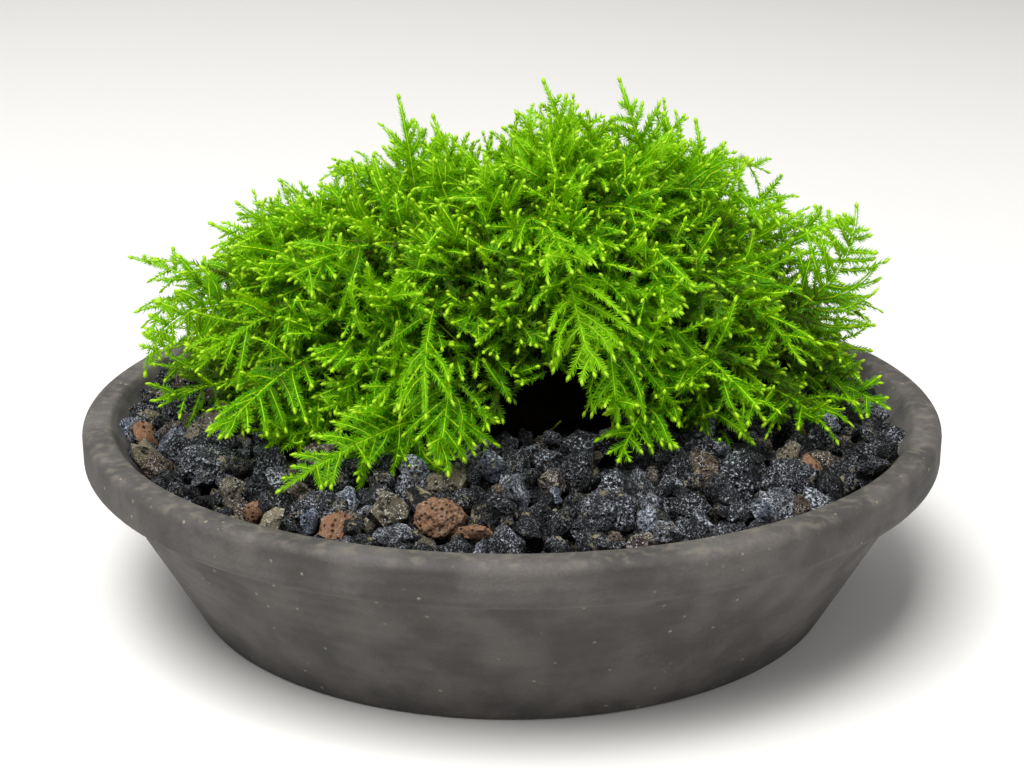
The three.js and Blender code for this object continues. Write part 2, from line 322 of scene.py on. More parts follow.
SPRIG_LOOSENESS = (0.4, 1)
SPRIG_LEADERS = (0.05, 0.13)
PATCHES = 10  # the sprigs are joined in this many pieces round the clump

# Single shoots, in the same units
SHOOT_TURN_SCATTER = 1.3
SHOOT_LIFT = (50, 18)  # and its scatter
SHOOT_SIZES = (4.5, 9)
SHOOT_DEPTHS = (-3, 2)
SHOOT_DROOPS = (10, 90)
SHOOT_SWAY_SCATTER = 28

# The spread of feet over the mat, its lumps and its tints
MAT_TRIES = 24000
TOP_SHARE = 0.02  # nothing is spread nearer to the mat's top than this
WIDEST = 1.6  # the most that a step of share and angle covers on the mat, in half widths times half depths
LUMP_SIZE = 12 * MM
LUMP_HEIGHT = 6 * MM
PLACE_TINT = 0.44
TOP_YOUTH_AND_LIGHT = 0.2  # how much younger and lighter at the top: partly age, partly painted light
END_AGE_AND_SHADE = 0.2  # how much older and darker low down at the ends: partly age, partly painted shade
# How much lighter on tufts and darker in hollows: painted light and shade.
LUMP_LIGHT_AND_SHADE = 0.15
PLACE_TINT_SCATTER = 0.12
PLACE_TINT_LIMITS = (0.1, 0.95)

# The dark core of the clump
CORE_SHRINK = (0.9, 0.86, 0.95)
CORE_ANCHOR_DEPTH = 2 * MM  # how far under the gravel the core is drawn in to
CORE_VOXEL = 0.9 * MM
CORE_SMOOTH_ANGLE = math.radians(60)

# Grains and stones
GRAIN_TILES = 10  # the finish map of the grains is a square of this many tiles each way
TILE_SIZE = 5.5  # millimetres of lava on one tile
GRAIN_SHAPES = 12
GRAIN_UNEVENNESS = 0.13
GRAIN_FLAT = 0.42  # from the middle of a grain to its flat, as a share of its size
GRAIN_STRETCH = (1.05, 1.5)
GRAIN_SQUEEZE = (0.6, 0.9)
GRAIN_SMOOTH_ANGLE = math.radians(52)
TILE_MARKS = (0.02, 0.98)  # the part of its tile that a grain may use
GRAVEL_RADIUS = RIM_RADIUS - 5 * MM
MANY_SMALL = 1.4  # past 1, more of the grains are small
GRAIN_HEIGHTS = 0.12  # how far up or down a grain lies, as a share of its size
UNDER_MAT = 0.8  # the share of the mat that has no grains under it
STONE_ROOM = 0.85  # the room that a stone takes among the grains, as a share of its width
STONE_FLATS = 6
STONE_FLAT = 0.62  # from the middle of a stone to its flats, as a share of its reach
STONE_VOXEL = 0.16 * MM
STONE_SMOOTH_ANGLE = math.radians(50)


class Relief(NamedTuple):
    """A cloudy or porous pattern that moves a surface in and out, with the pattern's own settings."""

    kind: str
    grain: float
    depth: float
    settings: dict


STONE_RELIEF = (
    Relief("CLOUDS", 2.1 * MM, 1.2 * MM, {"noise_depth": 3}),
    Relief("VORONOI", 0.75 * MM, 0.5 * MM, {"noise_intensity": 1.2}),
    Relief("CLOUDS", 0.4 * MM, 0.22 * MM, {"noise_depth": 2}),
)
CORE_RELIEF = (
    Relief("CLOUDS", 5 * MM, 3.5 * MM, {"noise_depth": 2}),
    Relief("CLOUDS", 1.4 * MM, 1.4 * MM, {"noise_depth": 2}),
)

FLOOR_SIZE = 6
NEAREST_SEEN = 10 * MM  # what is closer to the camera isn't drawn

# Each light's place in metres, and the side of its square
LIGHTS = {
    "key": ((-0.24, -0.44, 1.1), 0.68),
    "fill": ((1, -0.6, 0.6), 1),
    "back": ((-0.3, 1, 0.8), 0.8),
}


# Settings


def length(name, description, default):
    """A size that a user may change."""
    return FloatProperty(
        name=name, description=description, default=default, min=0, unit="LENGTH", precision=5
    )


def colour(name, description, default):
    """A colour that a user may change."""
    return FloatVectorProperty(
        name=name, description=description, default=(*default, 1), size=4, min=0, max=1, subtype="COLOR"
    )


class MossPan(bpy.types.PropertyGroup):
    """The stoneware pan."""

    wall: length("Wall", "Thickness of the wall at the rim", WALL)
    lip_height: length("Lip height", "Height of the band round the rim", 6 * MM)
    lip_overhang: length("Lip overhang", "How far the lip stands out of the wall", 2.8 * MM)
    lip_round: length("Lip rounding", "Radius of the lip's edges", 1.4 * MM)
    foot_height: length("Foot height", "Height of the ring that the pan stands on", 2.5 * MM)
    foot_width: length("Foot width", "Width of that ring", 8 * MM)
    drain_radius: length("Drain radius", "Radius of the hole in the floor", 5 * MM)
    edge_round: length("Edge rounding", "Rounding of the other edges", 0.5 * MM)
    clay: colour("Clay", "The fired clay", (0.062, 0.056, 0.052))
    speck: colour("Specks", "Pale specks in the clay", (0.3, 0.26, 0.2))


class MossGravel(bpy.types.PropertyGroup):
    """The lava gravel."""

    smallest: length("Smallest grain", "Size of the smallest grain of the top layer", 3.4 * MM)
    largest: length("Largest grain", "Size of the largest grain", 6.6 * MM)
    filler: length("Filler grain", "Size of the grains between and under the others", 3 * MM)
    lava: colour("Lava", "The dark lava", (0.0075, 0.008, 0.0095))
    # The pale crusted high spots of the lava: partly wear, partly a painted highlight; the painted glints
    # are a lighter copy of this colour.
    crust_and_highlight: colour("Crust", "Worn high spots", (0.56, 0.59, 0.65))
    blue: colour("Blue lava", "The few bluish grains", (0.04, 0.06, 0.105))
    dust: colour("Dust", "Yellowish dust in the hollows", (0.4, 0.34, 0.2))
    tan: colour("Tan stone", "The few tan stones", (0.27, 0.14, 0.075))
    seed: IntProperty(name="Seed", description="Another seed lays the grains anew", default=7)


class MossClump(bpy.types.PropertyGroup):
    """The moss."""

    leaf_length: length("Leaf length", "Length of one leaf", 1.04 * MM)
    leaf_width: length("Leaf width", "Width of a leaf at its foot", 0.3 * MM)
    leaf_gap: length("Leaf spacing", "Step from one pair of leaves to the next", 0.215 * MM)
    stem_radius: length("Stem radius", "Radius of a branchlet at its foot", 0.15 * MM)
    bud_length: length("Bud length", "Length of the pale bud at each tip", 0.95 * MM)
    branchlet_gap: length("Branchlet spacing", "Step from one branchlet to the next", 0.85 * MM)
    sprig_gap: length("Sprig spacing", "Least distance between the feet of two sprigs", 2.55 * MM)
    shoot_gap: length("Shoot spacing", "Least distance between the feet of two shoots", 1.55 * MM)
    leaf: colour("Leaf", "Leaves of a fresh frond", (0.085, 0.35, 0.001))
    young_leaf: colour("Young leaf", "Leaves of the youngest fronds", (0.24, 0.58, 0.002))
    # old_leaf is also the colour of the painted shade on leaves deep in the clump and low at the ends.
    old_leaf: colour("Old leaf", "Leaves deep in the clump", (0.055, 0.15, 0.005))
    midrib: colour("Midrib", "Stems of fresh fronds", (0.6, 0.86, 0.01))
    old_stem: colour("Old stem", "Stems deep in the clump", (0.07, 0.055, 0.012))
    bud: colour("Bud", "The pale growing tips", (0.55, 0.85, 0.048))
    glow: colour("Glow", "Light that comes through the leaves", (0.4, 0.8, 0.001))
    seed: IntProperty(name="Seed", description="Another seed grows the sprigs anew", default=11)


class MossStage(bpy.types.PropertyGroup):
    """The floor, the lights and the camera."""

    elevation: FloatProperty(
        name="Elevation", description="Camera angle over the horizon", default=math.radians(18),
        subtype="ANGLE",
    )
    distance: length("Distance", "From the camera to the clump", 272 * MM)
    aim: length("Aim height", "Height that the camera looks at", 30 * MM)
    lens: FloatProperty(name="Lens", description="Focal length in millimetres", default=65, min=1)
    key: FloatProperty(name="Key", description="Power of the main light in watts", default=22, min=0)
    fill: FloatProperty(name="Fill", description="Power of each other light in watts", default=3.2, min=0)
    ambient: FloatProperty(name="Ambient", description="Strength of the room's light", default=0.28, min=0)
    floor: colour("Floor", "The pale floor", (0.72, 0.71, 0.69))


# Finishes


class Wire:
    """An output socket that can be reckoned with: every sign adds a Math node to its finish."""

    def __init__(self, finish, socket):
        self.finish = finish
        self.socket = socket

    def __add__(self, other):
        return self.finish.reckon("ADD", self, other)

    def __sub__(self, other):
        return self.finish.reckon("SUBTRACT", self, other)

    def __rsub__(self, other):
        return self.finish.reckon("SUBTRACT", other, self)

    def __mul__(self, other):
        return self.finish.reckon("MULTIPLY", self, other)

    __radd__ = __add__
    __rmul__ = __mul__


class Finish:
    """A material that is being put together."""

    def __init__(self, name):
        self.material = bpy.data.materials.new(name)
        self.material.use_nodes = True
        self.tree = self.material.node_tree
        self.tree.nodes.clear()

    def node(self, kind, settings=None, sockets=None, result=0):
        """Adds a node: its settings first, then the values or links of its sockets."""
        node = self.tree.nodes.new("ShaderNode" + kind)
        for name, value in (settings or {}).items():
            if name == "stops":
                set_stops(node.color_ramp, value)
            else:
                setattr(node, name, value)
        for name, value in (sockets or {}).items():
            if isinstance(value, Wire):
                self.tree.links.new(value.socket, node.inputs[name])
            else:
                node.inputs[name].default_value = value
        return Wire(self, node.outputs[result]) if node.outputs else node

    def reckon(self, operation, first, second=0.0):
        """Works out a number from one or two others."""
        return self.node("Math", {"operation": operation}, {0: first, 1: second})

    def step(self, value, low, high):
        """0 below low, 1 above high, and a smooth change between."""
        settings = {"interpolation_type": "SMOOTHSTEP"}
        return self.node("MapRange", settings, {"Value": value, "From Min": low, "From Max": high})

    def mix(self, factor, first, second):
        """The first colour where the factor is 0 and the second where it is 1."""
        return self.node("Mix", {"data_type": "RGBA"}, {0: factor, 6: first, 7: second}, 2)

    def shade(self, colour_wire, value):
        """The same colour, lighter or darker by a factor."""
        return self.node("HueSaturation", {}, {"Value": value, "Color": colour_wire})

    def ramp(self, value, stops):
        """The colour for a value from 0 to 1, by stops of position and colour."""
        return self.node("ValToRGB", {"stops": stops}, {"Fac": value})

    def noise(self, place, scale, detail=3.0, roughness=0.55):
        """Clouds from 0 to 1, about as many to a unit of the place as scale says."""
        sockets = {"Vector": place, "Scale": scale, "Detail": detail, "Roughness": roughness}
        return self.node("TexNoise", {}, sockets)

    def pores(self, place, scale):
        """Distance to the middle of the nearest pore, in pores."""
        return self.node("TexVoronoi", {}, {"Vector": place, "Scale": scale, "Randomness": 1.0})

    def object_place(self):
        """The place on the object, in millimetres."""
        return self.scaled(self.node("TexCoord", {}, {}, "Object"), 1 / MM)

    def map_place(self):
        """The place on the piece's own finish map."""
        return self.node("UVMap", {"uv_map": BAKE_MAP}, {}, "UV")

    def scaled(self, place, factor):
        """A place times a number."""
        return self.node("VectorMath", {"operation": "SCALE"}, {0: place, "Scale": factor})

    def part(self, place, axis):
        """One part of a place: its X, Y or Z."""
        return self.node("SeparateXYZ", {}, {0: place}, axis)

    def bump(self, height, depth):
        """Raises the surface by height times depth, in metres."""
        return self.node("Bump", {}, {"Height": height, "Distance": depth, "Strength": 1.0})

    def close(self, shader):
        """Links the shader to the output and gives the finished material."""
        self.node("OutputMaterial", {}, {"Surface": shader})
        return self.material


def set_stops(ramp, stops):
    """Gives a colour ramp its stops, as pairs of position and colour."""
    while len(ramp.elements) < len(stops):
        ramp.elements.new(1)
    for element, (position, stop) in zip(ramp.elements, stops):
        element.position = position
        element.color = stop


def dimmed(tone, factor):
    """A colour times a factor."""
    return (*(part * factor for part in tone[:3]), 1)


def halfway(first, second, share=0.5):
    """A colour between two others."""
    return (*(a + (b - a) * share for a, b in zip(first[:3], second[:3])), 1)


def stoneware_finish(pan):
    """Unglazed charcoal stoneware: mottled clay with pale specks, turning lines and a lip rubbed pale."""
    finish = Finish("charcoal_stoneware")
    place = finish.object_place()
    height = finish.part(place, "Z")
    mottle = finish.noise(place, 0.12, 4)
    grit = finish.noise(place, 2.6, 3)
    speck = 1 - finish.step(finish.pores(place, 0.55), 0.1, 0.17)
    speck = speck * finish.step(finish.noise(place, 0.4, 2), 0.5, 0.62)
    clay = finish.mix(finish.step(mottle, 0.35, 0.68), dimmed(pan.clay, 0.72), dimmed(pan.clay, 1.45))
    clay = finish.shade(clay, grit * 0.7 + 0.65)
    wear = finish.step(height, (RIM_HEIGHT - WORN_LIP) / MM, RIM_HEIGHT / MM)
    wear = wear * finish.step(finish.noise(place, 0.5, 4), 0.45, 0.7)
    clay = finish.mix(wear * 0.5, clay, dimmed(pan.speck, 0.6))
    clay = finish.mix(speck * 0.75, clay, tuple(pan.speck))
    turning = finish.reckon("SINE", height * TURNING_LINES + mottle * 9)
    relief = turning * 0.12 + grit * 0.5 + mottle * 0.8
    shader = finish.node("BsdfPrincipled", {}, {
        "Base Color": clay,
        "Roughness": grit * 0.25 + 0.62,
        "Normal": finish.bump(relief, CLAY_RELIEF),
    })
    return finish.close(shader)


def lava_finish(name, gravel, place_of, tone_of):
    """Porous lava: dark, with pale crusted high spots that are partly wear and partly a painted highlight,
    yellowish dust in its hollows, painted shade in its pores and painted glints.
    """
    finish = Finish(name)
    place = place_of(finish)
    lump = finish.noise(place, 0.5, 3)
    grit = finish.noise(place, 2.9, 4, 0.75)
    pore = 1 - finish.step(finish.pores(place, 1.5), 0.1, 0.5)
    stops = [
        (0.0, dimmed(gravel.lava, 0.5)),
        (0.4, tuple(gravel.lava)),
        (0.58, dimmed(gravel.lava, 2.8)),
        (0.68, tuple(gravel.blue)),
        (0.8, halfway(gravel.lava, gravel.tan, 0.18)),
        (0.91, halfway(gravel.lava, gravel.dust, 0.24)),
        (0.97, halfway(gravel.lava, gravel.dust, 0.5)),
        (0.98, tuple(gravel.tan)),
    ]
    tone = tone_of(finish)
    rock = finish.ramp(tone, stops)
    # How much pale crusted skin and how many painted glints a grain has, by its tone.
    crust_and_glint_share = (finish.step(tone, 0, 0.7) * 0.7 + 0.3) * (1 - finish.step(tone, 0.95, 0.985) * 0.6)
    weathered = finish.step(tone, 0.45, 0.6) * (1 - finish.step(tone, 0.72, 0.8))
    # Pale crusted skin on the high spots of the lumps: partly wear, partly a painted highlight where light
    # falls on them.
    crust_and_highlight = finish.step(grit + weathered * 0.06, 0.52, 0.64) * (finish.step(lump, 0.38, 0.6) * 0.85 + 0.15)
    warmth = finish.step(tone, 0.7, 0.82)
    crust_and_highlight_tone = finish.mix(warmth, tuple(gravel.crust_and_highlight), halfway(gravel.crust_and_highlight, gravel.dust, 0.7))
    rock = finish.mix(crust_and_highlight * crust_and_glint_share, rock, crust_and_highlight_tone)
    dust = finish.step(finish.noise(place, 0.3, 5, 0.75), 0.57, 0.66)
    rock = finish.mix(dust * 0.7, rock, tuple(gravel.dust))
    # Painted glints: fine bright specks on the high spots, standing in for light reflected off the lava.
    painted_glint = finish.step(finish.noise(place, 5.2, 2, 0.6), 0.61, 0.66)
    # Painted shade: the rock is darkened in its pores.
    rock = finish.shade(rock, 1 - pore * 0.85)
    painted_glint = painted_glint * crust_and_glint_share * (finish.step(lump, 0.4, 0.6) * 0.7 + 0.3)
    rock = finish.mix(painted_glint, rock, dimmed(gravel.crust_and_highlight, 1.5))
    relief = lump * 0.9 + grit * 0.7 - pore * 0.6
    shader = finish.node("BsdfPrincipled", {}, {
        "Base Color": rock,
        "Roughness": 0.8 - crust_and_highlight * 0.4,
        "Specular IOR Level": 0.22,
        "Normal": finish.bump(relief, LAVA_RELIEF),
    })
    return finish.close(shader)


def on_grain_tiles(finish):
    """The place on the grains' finish map, in millimetres."""
    return finish.scaled(finish.map_place(), GRAIN_TILES * TILE_SIZE)


def tone_of_tile(finish):
    """A chance number for each tile of the grains' finish map."""
    place = finish.scaled(finish.map_place(), GRAIN_TILES)
    tile = finish.node("VectorMath", {"operation": "FLOOR"}, {0: place})
    return finish.node("TexWhiteNoise", {"noise_dimensions": "2D"}, {"Vector": tile}, "Value")


def moss_finish(clump):
    """Leaves, stems and buds, by their band and their tint on the finish map, lit through."""
    finish = Finish("living_moss")
    place = finish.map_place()
    along, tint = finish.part(place, "X"), finish.part(place, "Y")
    old = age_ramp(finish, along, clump.old_leaf, clump.old_stem, halfway(clump.old_leaf, clump.bud, 0.25))
    fresh = age_ramp(finish, along, clump.leaf, clump.midrib, halfway(clump.midrib, clump.bud, 0.6))
    young = age_ramp(finish, along, clump.young_leaf, halfway(clump.midrib, clump.bud), clump.bud)
    green = finish.mix(finish.step(tint, 0.05, 0.5), old, fresh)
    green = finish.mix(finish.step(tint, 0.5, 0.95), green, young)
    mottle = finish.noise(place, 70, 2)
    green = finish.shade(green, mottle * 0.9 + 0.55)
    leaf = finish.node("BsdfPrincipled", {}, {
        "Base Color": green,
        "Roughness": 0.75 - mottle * 0.4,
        "Specular IOR Level": 0.1,
    })
    through = finish.node("BsdfTranslucent", {}, {"Color": tuple(clump.glow)})
    clearness = finish.step(tint, 0.05, 0.6) * 0.24 + 0.14
    return finish.close(finish.node("MixShader", {}, {0: clearness, 1: leaf, 2: through}))


def age_ramp(finish, along, leaf, stem, bud):
    """The colours of one age over the bands of the finish map."""
    return finish.ramp(along, [
        (LEAF_BAND[0], dimmed(leaf, 0.4)),
        (LEAF_BAND[1] * 0.6, tuple(leaf)),
        (LEAF_BAND[1], halfway(leaf, bud, 0.6)),
        (STEM_BAND[0], dimmed(stem, 0.75)),
        (STEM_BAND[1], tuple(stem)),
        (BUD_BAND[0], halfway(stem, bud)),
        (BUD_BAND[1], tuple(bud)),
    ])


def tangle_finish(clump):
    """The felt inside the clump: dark green high up, and nearly black low down."""
    finish = Finish("old_tangle")
    place = finish.object_place()
    height = finish.part(place, "Z")
    drawn_out = finish.node("VectorMath", {"operation": "MULTIPLY"}, {0: place, 1: (1, 1, 0.35)})
    strands = finish.noise(drawn_out, 1.6, 4)
    patches = finish.noise(place, 0.2, 3)
    old = clump.old_leaf
    felt = finish.mix(finish.step(strands, 0.42, 0.62), dimmed(old, 0.2), dimmed(old, 1.4))
    felt = finish.mix(finish.step(patches, 0.45, 0.65) * 0.4, felt, dimmed(clump.old_stem, 0.2))
    # The felt turns nearly black towards the bottom.
    darker_low = 1 - finish.step(height, DARK_LOW_HEIGHT[0] / MM, DARK_LOW_HEIGHT[1] / MM)
    felt = finish.mix(darker_low, felt, dimmed(clump.old_stem, 0.08))
    shader = finish.node("BsdfPrincipled", {}, {
        "Base Color": felt,
        "Roughness": 1.0,
        "Specular IOR Level": 0.0,
        "Normal": finish.bump(strands, FELT_RELIEF),
    })
    return finish.close(shader)


def floor_finish(stage):
    """Pale matt paper."""
    finish = Finish("pale_floor")
    shader = finish.node("BsdfPrincipled", {}, {"Base Color": tuple(stage.floor), "Roughness": 0.9})
    return finish.close(shader)


# Modelling by hand


def start(add, name, **settings):
    """Adds a primitive, with nothing else selected."""
    bpy.ops.object.select_all(action="DESELECT")
    add(**settings)
    piece = bpy.context.object
    piece.name = name
    piece.data.name = name
    return piece


def copy_of_solid(node, name):
    """A separate, welded copy of one of the solids, alone selected."""
    bpy.ops.object.select_all(action="DESELECT")
    piece = bpy.data.objects.new(name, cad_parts[node].data.copy())
    piece.data.name = name
    piece.data.materials.clear()
    bpy.context.collection.objects.link(piece)
    bpy.context.view_layer.objects.active = piece
    piece.select_set(True)
    edit(bpy.ops.mesh.remove_doubles, threshold=WELD)
    return piece


def edit(operation, **settings):
    """Runs an edit mode operator on all of the active mesh."""
    bpy.ops.object.mode_set(mode="EDIT")
    bpy.ops.mesh.select_all(action="SELECT")
    operation(**settings)
    bpy.ops.object.mode_set(mode="OBJECT")


def select_faces(piece, wanted):
    """Enters edit mode with the faces selected whose centre and normal are wanted."""
    bpy.ops.object.mode_set(mode="EDIT")
    bpy.ops.mesh.select_mode(type="FACE")
    bpy.ops.mesh.select_all(action="DESELECT")
    bpy.ops.object.mode_set(mode="OBJECT")
    for face in piece.data.polygons:
        face.select = wanted(face.center, face.normal)
    bpy.ops.object.mode_set(mode="EDIT")


def add_modifier(piece, kind, **settings):
    """Adds a modifier and applies it."""
    modifier = piece.modifiers.new(kind, kind)
    for name, value in settings.items():
        setattr(modifier, name, value)
    bpy.ops.object.modifier_apply(modifier=modifier.name)


def roughen(piece, voxel, reliefs, smooth_angle):
    """Makes the mesh of a solid piece fine and even, then moves its surface in and out by patterns."""
    add_modifier(piece, "REMESH", mode="VOXEL", voxel_size=voxel)
    for relief in reliefs:
        pattern = bpy.data.textures.new(piece.name, relief.kind)
        pattern.noise_scale = relief.grain
        for name, value in relief.settings.items():
            setattr(pattern, name, value)
        add_modifier(piece, "DISPLACE", texture=pattern, strength=relief.depth, texture_coords="LOCAL")
    bpy.ops.object.shade_smooth_by_angle(angle=smooth_angle)
    check_closed(piece)


def check_closed(piece):
    """Raises an error if a piece that should be solid has an open edge."""
    uses = np.zeros(len(piece.data.edges), int)
    sides = np.empty(len(piece.data.loops), int)
    piece.data.loops.foreach_get("edge_index", sides)
    np.add.at(uses, sides, 1)
    if (uses != 2).any():
        raise RuntimeError(f"{piece.name} isn't closed")


def hand_over(piece, material, slot, *nodes):
    """Gives a finished piece its material and its place in the frame."""
    piece.data.materials.clear()
    piece.data.materials.append(material)
    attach(piece, "root")
    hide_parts(*nodes)


def between(low, high, share):
    """The number at a share of the way from low to high."""
    return low + (high - low) * share


def share_of(value, limits):
    """How far a value is from one limit to the other, from 0 to 1."""
    return float(np.clip((value - limits[0]) / (limits[1] - limits[0]), 0, 1))


def unit_chance(i, series):
    """A repeatable number from 0 to 1 for item i of a series, the same as in the solids."""
    wave = math.sin(i * 12.9898 + series * 78.233) * 43758.5453
    return wave - math.floor(wave)


# The pan


def inner_radius(pan, height):
    """Radius of the inner wall, which leans out from the floor to the rim."""
    share = (height - FLOOR_HEIGHT) / (RIM_HEIGHT - FLOOR_HEIGHT)
    return between(BASE_RADIUS - pan.wall + INNER_FLARE, RIM_RADIUS - pan.wall, share)


def pan_profile(pan):
    """The section of the pan, as points at a radius and a height."""
    def lip_corner(height, first, last):
        middle = RIM_RADIUS - pan.lip_round
        angles = np.radians(np.linspace(first, last, LIP_POINTS))
        return [(middle + pan.lip_round * math.cos(a), height + pan.lip_round * math.sin(a)) for a in angles]

    under_lip = RIM_HEIGHT - pan.lip_height
    return [
        (pan.drain_radius, pan.foot_height),
        (BASE_RADIUS - pan.foot_width, pan.foot_height),
        (BASE_RADIUS - pan.foot_width, 0),
        (BASE_RADIUS, 0),
        (RIM_RADIUS - pan.lip_overhang, under_lip),
        *lip_corner(under_lip + pan.lip_round, -90, 0),
        *lip_corner(RIM_HEIGHT - pan.lip_round, 0, 90),
        (RIM_RADIUS - pan.wall, RIM_HEIGHT),
        (inner_radius(pan, FLOOR_HEIGHT), FLOOR_HEIGHT),
        (pan.drain_radius, FLOOR_HEIGHT),
        (pan.drain_radius, pan.foot_height),
    ]


def model_pan(pan):
    """Draws the section point by point and spins it round, like clay on a wheel."""
    piece = start(bpy.ops.mesh.primitive_plane_add, "stoneware_pan", size=1 * MM)
    profile = pan_profile(pan)
    bpy.ops.object.mode_set(mode="EDIT")
    bpy.ops.mesh.select_mode(type="VERT")
    bpy.ops.mesh.select_all(action="SELECT")
    bpy.ops.mesh.merge(type="CENTER")
    bpy.ops.transform.translate(value=(profile[0][0], 0, profile[0][1]))
    for (radius, height), (next_radius, next_height) in zip(profile, profile[1:]):
        step = (next_radius - radius, 0, next_height - height)
        bpy.ops.mesh.extrude_region_move(TRANSFORM_OT_translate={"value": step})
    bpy.ops.mesh.select_all(action="SELECT")
    bpy.ops.mesh.spin(steps=ROUND_STEPS, angle=2 * math.pi, center=(0, 0, 0), axis=(0, 0, 1))
    bpy.ops.mesh.select_all(action="SELECT")
    bpy.ops.mesh.remove_doubles(threshold=WELD)
    bpy.ops.mesh.normals_make_consistent(inside=False)
    bpy.ops.object.mode_set(mode="OBJECT")
    sharp = {"limit_method": "ANGLE", "angle_limit": PAN_BEVEL_ANGLE}
    add_modifier(piece, "BEVEL", width=pan.edge_round, segments=3, **sharp)
    bpy.ops.object.shade_smooth_by_angle(angle=PAN_SMOOTH_ANGLE)
    check_closed(piece)
    return piece


# The gravel


def bed_height(radius):
    """Height of the gravel heap at a distance from the middle."""
    edge = RIM_RADIUS - WALL
    return RIM_HEIGHT - BED_BELOW_RIM + BED_CROWN * (1 - (radius / edge) ** 2)


def model_bed():
    """The packed gravel under the top grains: the solid's heap with its top sunk."""
    piece = copy_of_solid("gravel_bed", "gravel_base")
    select_faces(piece, lambda centre, normal: centre.z > RIM_HEIGHT / 2 and normal.z > LOOKS_UP)
    bpy.ops.transform.translate(value=(0, 0, -BED_SUNK))
    bpy.ops.object.mode_set(mode="OBJECT")
    check_closed(piece)
    return piece


class Grain(NamedTuple):
    """One modelled grain of lava at unit size, as arrays."""

    points: np.ndarray
    faces: np.ndarray
    marks: np.ndarray


def model_grain(number, chance):
    """A ball made uneven, cut by one flat, then stretched and squeezed, and read into arrays."""
    piece = start(bpy.ops.mesh.primitive_ico_sphere_add, "grain", subdivisions=2, radius=0.5)
    edit(bpy.ops.transform.vertex_random, offset=GRAIN_UNEVENNESS, uniform=0.3, normal=0.7, seed=number)
    away = Vector(chance.normal(size=3)).normalized()
    edit(bpy.ops.mesh.bisect, plane_co=away * GRAIN_FLAT, plane_no=away, use_fill=True, clear_outer=True)
    stretch = (chance.uniform(*GRAIN_STRETCH), 1, chance.uniform(*GRAIN_SQUEEZE))
    edit(bpy.ops.transform.resize, value=stretch)
    edit(bpy.ops.mesh.quads_convert_to_tris)
    points, faces = read_mesh(piece)
    # Each triangle is marked as it looks along the axis that it faces most.
    corners = points[faces]
    normals = np.cross(corners[:, 1] - corners[:, 0], corners[:, 2] - corners[:, 0])
    widest = np.abs(normals).argmax(1)
    others = np.array([(1, 2), (0, 2), (0, 1)])[widest]
    flat = np.take_along_axis(corners, others[:, None, :].repeat(3, 1), 2)
    marks = np.clip(flat / GRAIN_STRETCH[1] + 0.5, *TILE_MARKS) / GRAIN_TILES
    bpy.data.objects.remove(piece)
    return Grain(points, faces, marks)


def read_mesh(piece):
    """The points and the triangles of a mesh as arrays."""
    points = np.empty(3 * len(piece.data.vertices))
    piece.data.vertices.foreach_get("co", points)
    faces = np.array([tuple(face.vertices) for face in piece.data.polygons])
    return points.reshape(-1, 3), faces


class Layer(NamedTuple):
    """A layer of grains. Closeness is the least distance of two, as a share of both their sizes."""

    tries: int
    smallest: float
    largest: float
    closeness: float
    rise: float


def grain_places(gravel, chance):
    """Where the grains lie, as rows of x, y, z and size: large ones first, fillers between them."""
    stones = []
    for name in STONES:
        low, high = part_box(name)
        centre = (low + high) / 2
        stones.append((*centre, STONE_ROOM * (high.x - low.x)))
    placed = list(stones)
    layers = (
        Layer(3200, gravel.smallest, gravel.largest, 0.46, 0),
        Layer(2600, 0.9 * gravel.filler, 1.4 * gravel.filler, 0.34, -1.1 * MM),
        Layer(700, 0.7 * gravel.filler, 1.4 * gravel.filler, 0.4, 1.3 * MM),
    )
    for layer in layers:
        for _ in range(layer.tries):
            size = between(layer.smallest, layer.largest, chance.random() ** MANY_SMALL)
            reach = (GRAVEL_RADIUS - size / 2) * math.sqrt(chance.random())
            angle = chance.uniform(0, 2 * math.pi)
            x, y = reach * math.cos(angle), reach * math.sin(angle)
            z = bed_height(reach) + layer.rise + size * chance.uniform(-GRAIN_HEIGHTS, GRAIN_HEIGHTS)
            if math.hypot(x / MAT_HALF_WIDTH, y / MAT_HALF_DEPTH) < UNDER_MAT:
                continue
            near = np.array(placed)
            apart = np.linalg.norm(near[:, :3] - (x, y, z), axis=1)
            if (apart > layer.closeness * (near[:, 3] + size)).all():
                placed.append((x, y, z, size))
    return placed[len(stones):]


def lay_grains(gravel):
    """Copies the modelled grains, turned at random, into one joined mesh."""
    chance = np.random.default_rng(gravel.seed)
    grains = [model_grain(number, chance) for number in range(GRAIN_SHAPES)]
    growth = Growth()
    for x, y, z, size in grain_places(gravel, chance):
        grain = grains[chance.integers(GRAIN_SHAPES)]
        turn = random_turn(chance)
        tile = chance.integers(0, GRAIN_TILES, 2) / GRAIN_TILES
        growth.add(grain.points @ turn.T * size + (x, y, z), grain.faces, grain.marks + tile)
    return growth


def random_turn(chance):
    """A turn about any axis, as a 3 by 3 array."""
    return np.array(Quaternion(chance.normal(size=4)).normalized().to_matrix())


def model_stone(node, number):
    """One of the larger stones: its solid with a few flats, made fine, then broken by lumps and pores."""
    chance = np.random.default_rng(number)
    piece = copy_of_solid(node, "rough_" + node)
    low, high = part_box(node)
    for _ in range(STONE_FLATS):
        away = Vector(chance.normal(size=3)).normalized()
        reach = sum(abs(part) * half for part, half in zip(away, (high - low) / 2))
        flat = (low + high) / 2 + away * STONE_FLAT * reach
        edit(bpy.ops.mesh.bisect, plane_co=flat, plane_no=away, use_fill=True, clear_outer=True)
    roughen(piece, STONE_VOXEL, STONE_RELIEF, STONE_SMOOTH_ANGLE)
    return piece


# The moss


